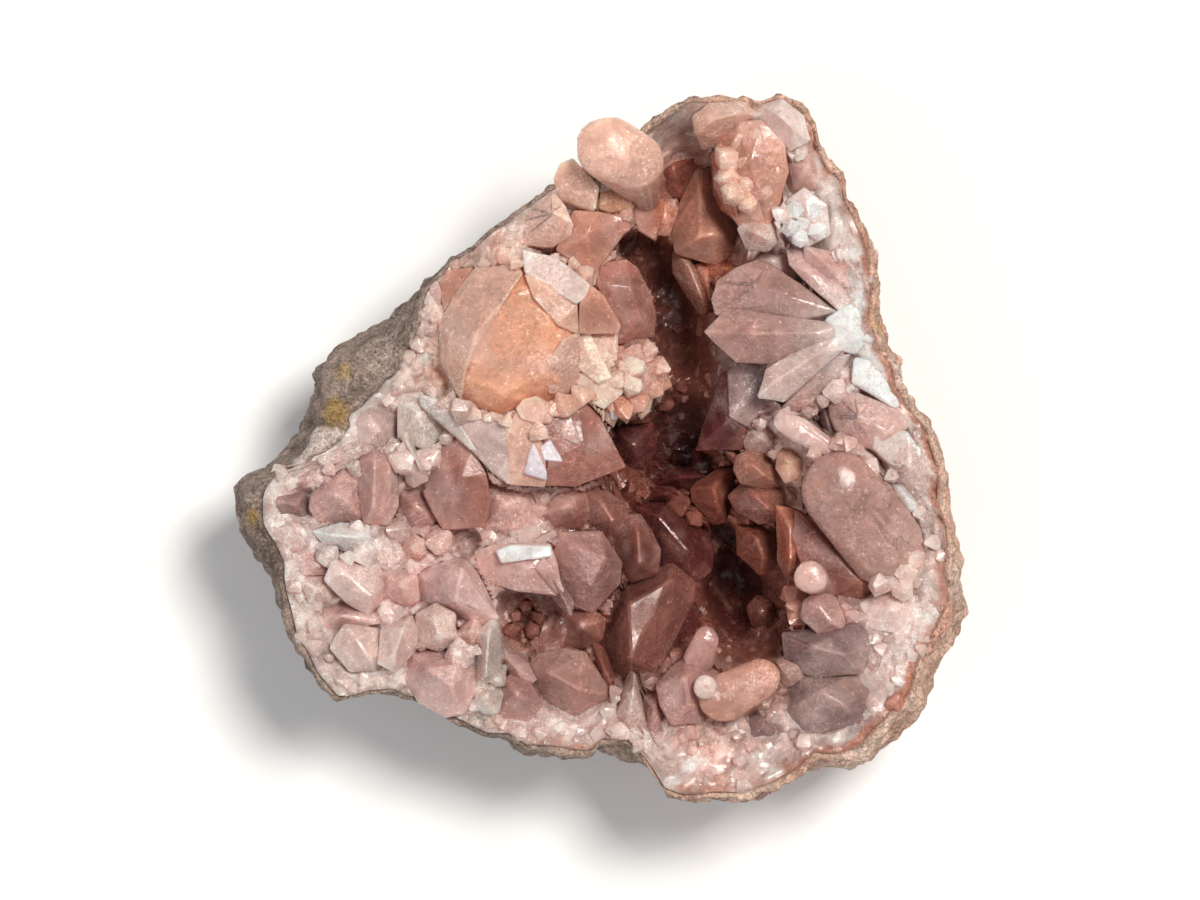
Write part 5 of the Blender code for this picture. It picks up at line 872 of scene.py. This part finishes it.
def root_of(x, y, height, root=None):
    """Where a crystal is rooted and how narrow it is there: in the lining, and leaning in from the rock."""
    if root:
        return Vector(root), LEANING_TAPER
    edge = clamp((share_of(x, y) - 0.7) / 0.2)
    inward = 1 - ROOT_INSET * edge / math.hypot(x, y)
    depth = min(height - ROOT_DEPTH, bare_lining(x, y) - 1.0)
    return Vector((inward * x, inward * y, depth)), ROOT_TAPER + (LEANING_TAPER - ROOT_TAPER) * edge


def large_crystal(shoulder, ridge, outline, lean, *given):
    """A crystal as the hull of its leaning shoulder, the ridge above it and a narrower root in the crust."""
    x, y = middle_of(outline)
    root, taper = root_of(x, y, shoulder, *given)
    sides = [Vector((GROWTH * (px - x), GROWTH * (py - y), 0)) for px, py in outline]
    places = [Vector((x, y, shoulder + lean.dot(side))) + side for side in sides]
    places += [Vector(place) for place in ridge]
    places += [root + taper * side for side in sides[::2]]
    return hull(places)


def faced_crystal(corners, *given):
    """A crystal as the hull of its corners and a narrower root in the crust."""
    places = [Vector(corner) for corner in corners]
    centre = sum(places, Vector()) / len(places)
    root, taper = root_of(centre.x, centre.y, min(place.z for place in places), *given)
    feet = [root + taper * Vector((place.x - centre.x, place.y - centre.y, 0)) for place in places]
    return hull(places + feet)


def finish_crystal(mesh, worn):
    """Wears the edges, and divides the faces so that they can be uneven and change colour."""
    round_edges(mesh, worn)
    broad = [face for face in mesh.faces if face.calc_area() > BROAD_FACE * MM * MM]
    bmesh.ops.inset_individual(mesh, faces=broad, thickness=EDGE_WIDTH * MM)
    bmesh.ops.triangulate(mesh, faces=mesh.faces)
    for _ in range(2):
        long = [edge for edge in mesh.edges if edge.calc_length() > FACE_DIVISION * MM]
        bmesh.ops.subdivide_edges(mesh, edges=long, cuts=1)
        bmesh.ops.triangulate(mesh, faces=[face for face in mesh.faces if len(face.verts) > 3])
    mesh.normal_update()
    for vertex in mesh.verts:
        place = vertex.co / MM
        vertex.co += vertex.normal * (FACE_UNEVEN * lump(place, 2.5) * MM)


def pebble(balls):
    """A rounded crystal: the hull of some balls, flattened on top and slightly lumpy."""
    places = []
    for x, y, z, radius in balls:
        ball = bmesh.new()
        bmesh.ops.create_icosphere(ball, subdivisions=3, radius=radius)
        centre = Vector((x, y, z + radius * (1 - PEBBLE_FLATNESS)))
        places += [vertex.co * Vector((1, 1, PEBBLE_FLATNESS)) + centre for vertex in ball.verts]
        ball.free()
    mesh = hull(places)
    mesh.normal_update()
    for vertex in mesh.verts:
        vertex.co += vertex.normal * (PEBBLE_UNEVEN * lump(vertex.co / MM, 4.0) * MM)
    return mesh


def quartz_point(root, tip, width, rng):
    """A six-sided point from root to tip, its faces uneven as in real quartz."""
    axis = tip - root
    length = axis.length
    turn = axis.to_track_quat("Z", "Y").to_matrix().to_4x4()
    pose = Matrix.Translation(root) @ turn @ Matrix.Rotation(rng.uniform(0, math.pi / 3), 4, "Z")
    places = []
    taper = min(0.55 * width, 0.6 * length)
    for i in range(6):
        angle = math.radians(60 * i + rng.uniform(-7, 7))
        radius = width / 2 * rng.uniform(0.86, 1.12)
        side = Vector((radius * math.cos(angle), radius * math.sin(angle), 0))
        places.append(pose @ side)
        places.append(pose @ (side + Vector((0, 0, length - taper * rng.uniform(0.7, 1.15)))))
    places.append(pose @ Vector((0.06 * width, 0, length)))
    places.append(pose @ Vector((-0.06 * width, 0.04 * width, length)))
    mesh = hull(places)
    if width > WORN_POINT:
        round_edges(mesh, POINT_WEAR)
    return mesh


# ---------------------------------------------------------------- the crust


class Plan:
    """The crust seen from above, on a fine grid: how high its crystals stand, and its colours."""

    def __init__(self):
        line = np.arange(-PLAN_HALF, PLAN_HALF, PLAN_STEP)
        self.x, self.y = np.meshgrid(line, line)
        self.top = np.full(self.x.shape, -np.inf)
        self.colour = np.zeros((*self.x.shape, 3))
        self.weight = np.full(self.x.shape, 1e-9)

    def stamp(self, mesh, colour):
        """Notes the upper side of a convex crystal, and lets its colour spread around it."""
        places = np.array([vertex.co[:] for vertex in mesh.verts]) / MM
        low, high = places.min(axis=0), places.max(axis=0)
        first = ((low + PLAN_HALF) / PLAN_STEP).astype(int)
        last = ((high + PLAN_HALF) / PLAN_STEP).astype(int) + 2
        rows, columns = slice(first[1], last[1]), slice(first[0], last[0])
        x, y = self.x[rows, columns], self.y[rows, columns]
        upper = np.full(x.shape, np.inf)
        lower = np.full(x.shape, -np.inf)
        for face in mesh.faces:
            nx, ny, nz = face.normal
            px, py, pz = face.verts[0].co / MM
            lean = nx * (x - px) + ny * (y - py)
            if nz > 0.02:
                upper = np.minimum(upper, pz - lean / nz)
            elif nz < -0.02:
                lower = np.maximum(lower, pz - lean / nz)
            else:
                upper = np.where(lean > 0, -np.inf, upper)
        upper = np.where(upper > lower, upper, -np.inf)
        self.top[rows, columns] = np.maximum(self.top[rows, columns], upper)
        middle = (low + high) / 2
        width = (high[0] - low[0] + high[1] - low[1]) / 4
        far = ((self.x - middle[0]) ** 2 + (self.y - middle[1]) ** 2) / (COLOUR_REACH * width) ** 2
        weight = np.exp(-far) + 1e-6 / (1 + far)
        self.colour += weight[..., None] * np.array(colour)
        self.weight += weight

    def settle(self):
        """Lays the lining between the crystals: it fills every gap narrower than FILLED_GAP."""
        ground = self.ground()
        self.taken = self.top > ground - BURIED
        closed = filled(np.maximum(ground, self.top), FILLED_GAP / 2)
        under = spread(self.taken, PLAN_STEP, np.minimum)
        beneath = spread(np.where(self.taken, self.top, closed), BESIDE, np.minimum) - SOCKET_DEPTH
        beside = spread(np.where(self.taken, -FAR, closed), BESIDE, np.maximum)
        between = np.where(self.taken, np.minimum(closed, beside), closed) + OVERGROWTH
        self.height = filled(np.where(under, np.minimum(beneath, ground), between), BESIDE)
        near = spread(under, BESIDE, np.maximum)
        self.open = np.where(near, 0.0, 1.0)
        self.seam = near & ~under & (ground > HOLLOW_BELOW)
        self.colour /= self.weight[..., None]

    def ground(self):
        """Height of the bare lining, lower around the crystals whose tops are low."""
        coarse = slice(None, None, 2)
        spots = zip(self.x[coarse, coarse].flat, self.y[coarse, coarse].flat)
        bare_height = np.array([bare_lining(x, y) for x, y in spots]).reshape(self.x[coarse, coarse].shape)
        bare_height = np.repeat(np.repeat(bare_height, 2, axis=0), 2, axis=1)
        limit = np.where(np.isfinite(self.top), self.top, FAR)
        for _ in range(round(SEAT_REACH / PLAN_STEP)):
            limit = np.minimum(limit, spread(limit, PLAN_STEP, np.minimum) + SEAT_SLOPE * PLAN_STEP)
        return np.minimum(bare_height, limit)

    def at(self, grid, x, y):
        """A grid's value at a place, between its four nearest."""
        column, row = (x + PLAN_HALF) / PLAN_STEP, (y + PLAN_HALF) / PLAN_STEP
        i, j = int(row), int(column)
        u, v = row - i, column - j
        near = grid[i, j] * (1 - v) + grid[i, j + 1] * v
        far = grid[i + 1, j] * (1 - v) + grid[i + 1, j + 1] * v
        return near * (1 - u) + far * u

    def lining(self, x, y):
        """Height of the lining at a place: it keeps its least thickness and ends at the rock's edge."""
        heading = math.degrees(math.atan2(y, x))
        share = min(0.999, share_of(x, y))
        height = self.at(self.height, x, y)
        height += (rim_height(heading) - height) * share**14
        return max(height, bowl(heading, share).z + CRUST_THINNEST * (1 - share**8))


def spread(grid, radius, pick):
    """The highest or lowest value within a radius of each place."""
    steps = round(radius / PLAN_STEP)
    result = grid.copy()
    for i in range(-steps, steps + 1):
        for j in range(-steps, steps + 1):
            if i * i + j * j <= steps * steps:
                result = pick(result, np.roll(grid, (i, j), (0, 1)))
    return result


def filled(grid, radius):
    """The grid with every dent narrower than twice the radius filled."""
    return spread(spread(grid, radius, np.maximum), radius, np.minimum)


def facets(place, size):
    """Flat tilted patches about this wide, as on a sugary surface, from about -1 to 1."""
    centre = noise.voronoi(place / size)[1][0]
    tilt = noise.cell_vector(centre * 7.3) - Vector((0.5, 0.5, 0.5))
    return 2.2 * tilt.dot(place / size - centre) + 0.8 * (noise.cell(centre * 5.1) - 0.5)


def lining_colour(plan, place):
    """Colour between the crystals: like theirs, granular and milky near the rock, rusty against it, and
    painted darker deep in the hollows as shade.
    """
    share = share_of(place.x, place.y)
    heading = math.degrees(math.atan2(place.y, place.x))
    colour = Vector(plan.at(plan.colour, place.x, place.y))
    centre = noise.voronoi(place / 1.5)[1][0]
    grain = noise.cell(centre * 9.1)
    near_rock = clamp((share - 0.80) / 0.12)
    granule = Vector(PALETTE[GRANULES[int(grain * len(GRANULES)) % len(GRANULES)]])
    colour = colour.lerp(granule, near_rock * (0.55 + 0.3 * noise.cell(centre * 3.3)))
    pale = 0.35 * near_rock + 0.45 * lump(place, 5.0)
    colour = clouded(colour.lerp(Vector(PALETTE["milk"]), clamp(pale, 0.7)), place)
    colour *= 1 + 0.20 * lump(place, 1.7) + 0.12 * (grain - 0.5)
    # Painted shade: the lining darkens with depth, towards near black in the pits.
    shade = Vector(PALETTE["hollow"]).lerp(Vector(PALETTE["pit shade"]), clamp((PIT_BELOW - place.z) / 5.0))
    colour = colour.lerp(shade, 0.92 * clamp((HOLLOW_BELOW - place.z) / 4.0))
    rusty = 0.5 + 0.6 * math.cos(math.radians(heading - RUST_SIDE)) + 0.6 * lump(place, 6.0)
    rust = (share - 0.975) / 0.012 + 1.5 * lump(place, 2.2)
    return colour.lerp(Vector(PALETTE["rust"]), clamp(rust, 0.85) * clamp(rusty))


def build_lining(plan):
    """The crust between its crystals."""
    headings = [360 * i / CRUST_HEADINGS for i in range(CRUST_HEADINGS)]
    rings = []
    for share in (0.3, 0.6, 0.8, 0.93, 0.98):
        rings.append([bowl(heading, share, -INNER_GAP) for heading in headings])
    for i in range(CRUST_RINGS):
        share = 1 - i / CRUST_RINGS
        ring = []
        for heading in headings:
            place = bowl(heading, min(share, 0.99), -INNER_GAP)
            place.z = plan.lining(place.x, place.y)
            rough = LINING_ROUGH * (0.25 + 0.75 * plan.at(plan.open, place.x, place.y))
            rough *= (1 + share**8) * (1 - share**80)
            flat = Vector((place.x, place.y, 0))
            place.z += rough * (facets(flat, 1.6) + 0.5 * facets(flat, 0.8))
            ring.append(place)
        rings.append(ring)
    mesh = loft(rings, Vector((0, 0, FLOOR_THICKNESS - INNER_GAP)), Vector((0, 0, plan.lining(0, 0))))
    tint(mesh, lambda vertex: lining_colour(plan, vertex.co / MM))
    return mesh


def free_places(plan, rng):
    """Places for small crystals and their widths: largest first, until the lining is nearly covered."""
    taken = plan.taken.copy()
    for low, high, tries in SMALL_WIDTHS:
        for _ in range(tries):
            heading = rng.uniform(0, 360)
            share = math.sqrt(rng.uniform(0.0, 0.97))
            place = bowl(heading, share)
            width = rng.uniform(low, high) * (0.75 if share > 0.8 else 1.0)
            if plan.at(taken, place.x, place.y) < 0.5:
                taken |= np.hypot(plan.x - place.x, plan.y - place.y) < SMALL_SPACING * width
                yield place, width
    seams = plan.seam.copy()
    for _ in range(SEAM_POINTS):
        share = math.sqrt(rng.uniform(0.25, 0.95))
        place = bowl(rng.uniform(0, 360), share)
        if plan.at(seams, place.x, place.y) > 0.5:
            seams &= np.hypot(plan.x - place.x, plan.y - place.y) > SEAM_SPACING
            yield place, rng.uniform(*SEAM_WIDTHS)


def scatter(plan, rng, collection):
    """Small points over what the large crystals leave bare, each leaning a little."""
    for place, width in free_places(plan, rng):
        x, y = place.x, place.y
        place.z = plan.lining(x, y)
        fall_x = plan.lining(x - SLOPE_STEP, y) - plan.lining(x + SLOPE_STEP, y)
        fall_y = plan.lining(x, y - SLOPE_STEP) - plan.lining(x, y + SLOPE_STEP)
        up = Vector((fall_x, fall_y, 2 * SLOPE_STEP)).normalized()
        up += Vector((rng.uniform(-0.7, 0.7), rng.uniform(-0.7, 0.7), rng.uniform(-0.1, 0.3)))
        up.normalize()
        root = place - 0.7 * width * up
        tip = place + rng.uniform(0.05, 0.24) * width * up
        mesh = quartz_point(root, tip, width, rng)
        colour = lining_colour(plan, place) * rng.uniform(0.88, 1.15)
        paint(mesh, colour)
        add_object("point", mesh, collection)


def build_crystals(plan, rng, collection):
    """The large crystals, the rounded ones and the clusters, each stamped on the plan."""
    for name, colour, shoulder, ridge, outline, *root in CRYSTALS:
        lean_x = rng.uniform(-CRYSTAL_LEAN, CRYSTAL_LEAN)
        lean = Vector((lean_x, rng.uniform(-CRYSTAL_LEAN, CRYSTAL_LEAN), 0))
        mesh = large_crystal(shoulder, ridge, outline, lean, *root)
        own = shifted(colour, rng, 0.05)
        plan.stamp(mesh, own)
        finish_crystal(mesh, OUTLINE_WEAR)
        paint(mesh, own)
        add_object(name, mesh, collection)
    for name, colour, corners, *root in FACED:
        mesh = faced_crystal(corners, *root)
        own = shifted(colour, rng, 0.03)
        plan.stamp(mesh, own)
        finish_crystal(mesh, CORNER_WEAR)
        paint(mesh, own)
        add_object(name, mesh, collection)
    for name, colour, balls in PEBBLES:
        mesh = pebble(balls)
        own = shifted(colour, rng, 0.05)
        plan.stamp(mesh, own)
        paint(mesh, own)
        add_object(name, mesh, collection)
    for name, colour, root, width, height, tips in ROSETTES:
        for x, y in tips:
            tip = Vector((x, y, height + rng.uniform(-0.8, 0.6)))
            mesh = quartz_point(Vector(root).lerp(tip, 0.15), tip, width, rng)
            own = shifted(colour, rng)
            plan.stamp(mesh, own)
            paint(mesh, own)
            add_object(name, mesh, collection)


def build_crust():
    """Lining and crystals, grown together in one closed mesh."""
    rng = random.Random(SEED)
    plan = Plan()
    crystals = bpy.data.collections.new("crystals")
    bpy.context.scene.collection.children.link(crystals)
    build_crystals(plan, rng, crystals)
    plan.settle()
    crust = add_object("quartz_crust", build_lining(plan))
    scatter(plan, rng, crystals)
    union = crust.modifiers.new("grown together", "BOOLEAN")
    union.solver = "MANIFOLD"
    union.operation = "UNION"
    union.operand_type = "COLLECTION"
    union.collection = crystals
    graph = bpy.context.evaluated_depsgraph_get()
    data = bpy.data.meshes.new_from_object(crust.evaluated_get(graph))
    crust.modifiers.clear()
    crust.data = data
    for crystal in list(crystals.objects):
        bpy.data.objects.remove(crystal)
    bpy.data.collections.remove(crystals)
    keep_outer_shell(data)
    data.shade_smooth()
    data.set_sharp_from_angle(angle=math.radians(SMOOTH_ANGLE))
    return crust


def keep_outer_shell(data):
    """Takes out the gaps that crystals closed off between them."""
    mesh = bmesh.new()
    mesh.from_mesh(data)
    todo = set(mesh.verts)
    islands = []
    while todo:
        island = {todo.pop()}
        front = list(island)
        while front:
            vertex = front.pop()
            for edge in vertex.link_edges:
                other = edge.other_vert(vertex)
                if other not in island:
                    island.add(other)
                    front.append(other)
        todo -= island
        islands.append(island)
    outer = max(islands, key=len)
    stray = [vertex for island in islands if island is not outer for vertex in island]
    bmesh.ops.delete(mesh, geom=stray, context="VERTS")
    bmesh.ops.triangulate(mesh, faces=[face for face in mesh.faces if len(face.verts) > 4])
    mesh.to_mesh(data)
    mesh.free()


# ---------------------------------------------------------------- the rind


def knob(place):
    """How far the nearest large lump of the rock stands out at a place, and how pale that lump is."""
    found = [(height * (1 - (math.hypot(place.x - x, place.y - y) / radius) ** 2), pale)
             for x, y, radius, height, pale in KNOBS]
    return max([(0.0, 0.0), *found])


def rock_colour(place):
    """Grey-brown rock on the west, brick red with cream grains on the east, ochre in a few spots."""
    patch = 0.5 + 0.5 * lump(place, 8.0) + 0.4 * lump(place, 2.5)
    grey = Vector(PALETTE["dark rock"]).lerp(Vector(PALETTE["grey rock"]), clamp(patch))
    red = Vector(PALETTE["rust"]).lerp(Vector(PALETTE["cream rock"]), clamp(0.3 + 0.9 * patch))
    east = (place.x + 3.0) / 20.0 + 0.6 * lump(place, 7.0)
    colour = grey.lerp(red, clamp(east))
    high = clamp((place.z - STAINS_ABOVE) / 3.0)
    stand, pale = knob(place)
    colour = colour.lerp(Vector(PALETTE["pale rock"]), pale * min(1.0, stand) * high)
    for x, y, radius in OCHRE_SPOTS:
        near = 1.3 - math.hypot(place.x - x, place.y - y) / radius + 0.4 * lump(place, 1.5)
        colour = colour.lerp(Vector(PALETTE["ochre"]), clamp(near, 0.9) * high)
    return colour


def build_rind():
    """The rock with its fine roughness: lumps, grains, pits and a jagged edge."""
    headings = [360 * i / RIND_HEADINGS for i in range(RIND_HEADINGS)]
    rings = []
    for i in range(1, RIND_RISES + 1):
        rise = 2 * (i / RIND_RISES) ** 0.8
        ring = []
        for heading in headings:
            place = outside(heading, rise)
            rough = sum(height * lump(place, width) for height, width in RIND_ROUGH)
            rough += PIT_DEPTH * (0.45 - noise.voronoi(place / PIT_WIDTH)[0][0])
            place += point(heading, rough - 0.25, 0.4 * rough)
            if rise > 1:
                place += point(heading, max(0.0, reach(heading) - bare(heading) + 0.6 - place.xy.length), 0)
            climb = max(0.0, rise - 1)
            place.z = max(place.z + knob(place)[0] * math.sin(math.pi * climb**1.5), 0.0)
            ring.append(place)
        rings.append(ring)
    for share in (1.0, 0.93, 0.8, 0.6, 0.32):
        rings.append([bowl(heading, share) - Vector((0, 0, INNER_GAP)) for heading in headings])
    mesh = loft(rings, Vector((0, 0, 0)), Vector((0, 0, FLOOR_THICKNESS)))
    tint(mesh, lambda vertex: rock_colour(vertex.co / MM))
    rind = add_object("rind_rock", mesh)
    rind.data.shade_smooth()
    return rind


# ---------------------------------------------------------------- materials


class Shader:
    """A material's node tree, with short ways to add to it."""

    def __init__(self, name):
        self.material = bpy.data.materials.new(name)
        self.material.use_nodes = True
        self.tree = self.material.node_tree
        self.principled = self.tree.nodes["Principled BSDF"]

    def node(self, kind, **settings):
        """Adds a node with these settings."""
        made = self.tree.nodes.new(kind)
        for key, value in settings.items():
            setattr(made, key, value)
        return made

    def link(self, source, target):
        """Joins an output to an input."""
        self.tree.links.new(source, target)

    def noise(self, scale, detail=3.0, roughness=0.55, distortion=0.0):
        """Noise over the object, with scale in cycles per metre."""
        made = self.node("ShaderNodeTexNoise")
        made.inputs["Scale"].default_value = scale
        made.inputs["Detail"].default_value = detail
        made.inputs["Roughness"].default_value = roughness
        made.inputs["Distortion"].default_value = distortion
        self.link(self.place(), made.inputs["Vector"])
        return made.outputs["Fac"]

    def facets(self, scale):
        """Relief of small flat patches, each with a tilt of its own."""
        cells = self.node("ShaderNodeTexVoronoi")
        cells.inputs["Scale"].default_value = scale
        self.link(self.place(), cells.inputs["Vector"])
        way = self.vector("SUBTRACT", cells.outputs["Color"], (0.5, 0.5, 0.5))
        offset = self.vector("SUBTRACT", self.place(), cells.outputs["Position"])
        tilt = self.node("ShaderNodeVectorMath", operation="DOT_PRODUCT")
        self.link(way, tilt.inputs[0])
        self.link(offset, tilt.inputs[1])
        return self.math("MULTIPLY", tilt.outputs["Value"], scale)

    def vector(self, operation, first, second):
        """A sum on vectors, each a socket or plain numbers."""
        made = self.node("ShaderNodeVectorMath", operation=operation)
        for value, target in zip((first, second), made.inputs):
            if isinstance(value, tuple):
                target.default_value = value
            else:
                self.link(value, target)
        return made.outputs[0]

    def scaled(self, colour, factor):
        """The colour times a factor."""
        made = self.node("ShaderNodeVectorMath", operation="SCALE")
        self.link(colour, made.inputs[0])
        self.feed(factor, made.inputs["Scale"])
        return made.outputs[0]

    def toned(self, amount, colour, factor, lift):
        """The colour made lighter or darker, in its own hue, by this amount of a factor and a lift."""
        return self.mix(amount, colour, self.vector("ADD", self.scaled(colour, factor), (lift, lift, lift)))

    def place(self):
        """The place on the object."""
        return self.node("ShaderNodeTexCoord").outputs["Object"]

    def step(self, value, low, high, out_low=0.0, out_high=1.0):
        """Maps a value from one range to another, held at both ends."""
        made = self.node("ShaderNodeMapRange")
        self.link(value, made.inputs["Value"])
        for key, number in zip(("From Min", "From Max", "To Min", "To Max"), (low, high, out_low, out_high)):
            made.inputs[key].default_value = number
        return made.outputs["Result"]

    def mix(self, amount, first, second):
        """Mixes two colours, each a socket or a plain colour."""
        made = self.node("ShaderNodeMix", data_type="RGBA")
        self.feed(amount, made.inputs["Factor"])
        self.feed(first, made.inputs[6])
        self.feed(second, made.inputs[7])
        return made.outputs[2]

    def math(self, operation, first, second):
        """A sum on numbers, each a socket or a plain number."""
        made = self.node("ShaderNodeMath", operation=operation)
        self.feed(first, made.inputs[0])
        self.feed(second, made.inputs[1])
        return made.outputs[0]

    def feed(self, value, target):
        """Sets an input, or links it where the value is another node's output."""
        if isinstance(value, bpy.types.NodeSocket):
            self.link(value, target)
        elif isinstance(value, tuple):
            target.default_value = (*value, 1.0)
        else:
            target.default_value = value

    def bump(self, height, distance):
        """The normals of a surface with this relief, its height in millimetres."""
        made = self.node("ShaderNodeBump")
        made.inputs["Distance"].default_value = distance * MM
        self.link(height, made.inputs["Height"])
        return made.outputs["Normal"]


def quartz_colour(shader, frost):
    """Each crystal's own colour, with swirls, warm patches, frost, specks and hairlines, and tiny glints of
    light painted in.
    """
    base = shader.node("ShaderNodeAttribute", attribute_name="tint").outputs["Color"]
    broad = shader.noise(190, 4.0, distortion=0.6)
    base = shader.scaled(base, shader.step(broad, 0.35, 0.65, 0.88, 1.18))
    swirls = shader.step(shader.noise(360, 6.0, 0.65, distortion=1.8), 0.42, 0.66)
    base = shader.toned(swirls, base, 1.28, 0.02)
    warmth = shader.step(shader.noise(240, 3.0, distortion=1.0), 0.55, 0.72, 0.0, 0.30)
    base = shader.mix(warmth, base, PALETTE["salmon"])
    base = shader.toned(frost, base, 1.38, 0.02)
    specks = shader.step(shader.noise(1900, 3.0), 0.44, 0.32)
    base = shader.toned(specks, base, 0.82, 0.0)
    off_middle = shader.math("SUBTRACT", shader.noise(420, 1.0), 0.5)
    hairs = shader.step(shader.math("ABSOLUTE", off_middle, 0.0), 0.008, 0.002)
    hairy = shader.step(shader.noise(260), 0.52, 0.60)
    base = shader.toned(shader.math("MULTIPLY", hairs, hairy), base, 1.5, 0.05)
    # Painted highlights: tiny bright glints in the colour.
    painted_glints = shader.step(shader.noise(2700, 2.0), 0.66, 0.71)
    return shader.toned(painted_glints, base, 1.9, 0.06)


def quartz_relief(shader, frosted):
    """Grain and small flat patches, stronger where the crystal is frosted."""
    grain = shader.math("MULTIPLY", shader.noise(2200, 4.0, 0.65), shader.step(frosted, 0.15, 1.0, 0.5, 1.5))
    coarse = shader.math("MULTIPLY", shader.facets(950), 1.1)
    fine = shader.math("MULTIPLY", shader.math("MULTIPLY", shader.facets(2600), 0.7), frosted)
    return shader.math("ADD", grain, shader.math("ADD", coarse, fine))


def quartz():
    """Cloudy pink quartz, a little see-through and frosted in patches."""
    shader = Shader("pink quartz")
    frosted = shader.step(shader.noise(150, 3.0), 0.46, 0.64, 0.06, 1.0)
    frost = shader.math("MULTIPLY", frosted, shader.step(shader.noise(2500, 3.0, 0.75), 0.46, 0.64))
    body = shader.principled
    shader.link(quartz_colour(shader, frost), body.inputs["Base Color"])
    shader.link(shader.step(frost, 0.0, 0.6, 0.13, 0.45), body.inputs["Roughness"])
    body.inputs["IOR"].default_value = 1.54
    body.inputs["Specular IOR Level"].default_value = 0.5
    body.inputs["Subsurface Weight"].default_value = 0.55
    body.inputs["Subsurface Radius"].default_value = (3.0, 1.6, 1.2)
    body.inputs["Subsurface Scale"].default_value = 0.001
    body.inputs["Transmission Weight"].default_value = 0.18
    shader.link(shader.bump(quartz_relief(shader, frosted), 0.11), body.inputs["Normal"])
    return shader.material


def rock():
    """Weathered rind: its own colours, granular and freckled."""
    shader = Shader("weathered rind")
    base = shader.node("ShaderNodeAttribute", attribute_name="tint").outputs["Color"]
    cells = shader.node("ShaderNodeTexVoronoi")
    cells.inputs["Scale"].default_value = 1100
    shader.link(shader.place(), cells.inputs["Vector"])
    tone = shader.node("ShaderNodeSeparateXYZ")
    shader.link(cells.outputs["Color"], tone.inputs[0])
    base = shader.scaled(base, shader.step(tone.outputs["X"], 0.0, 1.0, 0.7, 1.3))
    grain = shader.noise(3000, 4.0, 0.65)
    base = shader.toned(shader.step(grain, 0.50, 0.64), base, 1.5, 0.05)
    base = shader.toned(shader.step(grain, 0.44, 0.34), base, 0.35, 0.0)
    shader.link(base, shader.principled.inputs["Base Color"])
    shader.principled.inputs["Roughness"].default_value = 0.9
    relief = shader.math("ADD", grain, shader.math("MULTIPLY", shader.facets(800), 0.5))
    shader.link(shader.bump(relief, 0.30), shader.principled.inputs["Normal"])
    return shader.material


def plain(name, colour, roughness):
    """A material of one colour."""
    shader = Shader(name)
    shader.principled.inputs["Base Color"].default_value = (*colour, 1.0)
    shader.principled.inputs["Roughness"].default_value = roughness
    return shader.material


# ---------------------------------------------------------------- floor, light and camera


def add_floor():
    """A plain pale floor, level with the foot."""
    data = bpy.data.meshes.new("floor")
    corners = [(x * FLOOR_HALF, y * FLOOR_HALF, 0) for x, y in ((-1, -1), (1, -1), (1, 1), (-1, 1))]
    data.from_pydata(corners, [], [(0, 1, 2, 3)])
    floor = bpy.data.objects.new("floor", data)
    bpy.context.scene.collection.objects.link(floor)
    data.materials.append(plain("pale floor", (0.9, 0.9, 0.9), 0.9))


def add_light(name, direction, distance, size, power, colour):
    """A square lamp that faces the middle of the hollow, in metres and watts."""
    data = bpy.data.lights.new(name, "AREA")
    data.size = size
    data.energy = power
    data.color = colour
    lamp = bpy.data.objects.new(name, data)
    aim = Vector(direction).normalized()
    lamp.location = Vector((0, 0, LIGHT_AIM)) + aim * distance
    lamp.rotation_euler = aim.to_track_quat("Z", "Y").to_euler()
    bpy.context.scene.collection.objects.link(lamp)


def add_lights():
    """A warm lamp from the upper right, a wide pale one from the lower left, and light from all round."""
    add_light("sun", (0.26, 0.24, 0.93), distance=1.5, size=0.36, power=21.0, colour=(1.0, 0.96, 0.90))
    add_light("sky", (-0.5, -0.35, 0.8), distance=1.6, size=1.6, power=7.0, colour=(0.97, 0.98, 1.0))
    world = bpy.data.worlds.new("room")
    world.use_nodes = True
    background = world.node_tree.nodes["Background"]
    background.inputs["Color"].default_value = (1.0, 1.0, 1.0, 1.0)
    background.inputs["Strength"].default_value = ROOM_LIGHT
    bpy.context.scene.world = world


def add_camera():
    """Straight above the geode, as in the photograph."""
    data = bpy.data.cameras.new("camera")
    data.sensor_width = SENSOR_WIDTH
    data.lens = FOCAL_LENGTH
    camera = bpy.data.objects.new("camera", data)
    camera.location = (0, 0, CAMERA_HEIGHT)
    bpy.context.scene.collection.objects.link(camera)
    bpy.context.scene.camera = camera


def main():
    """Builds both pieces in place of their solids, and the floor, light and camera."""
    crust = build_crust()
    crust.data.materials.clear()
    crust.data.materials.append(quartz())
    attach(crust, "root")
    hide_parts("crystal_crust")
    rind = build_rind()
    rind.data.materials.append(rock())
    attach(rind, "root")
    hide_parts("rind")
    add_floor()
    add_lights()
    add_camera()
    bpy.context.scene.view_settings.view_transform = "Standard"


main()
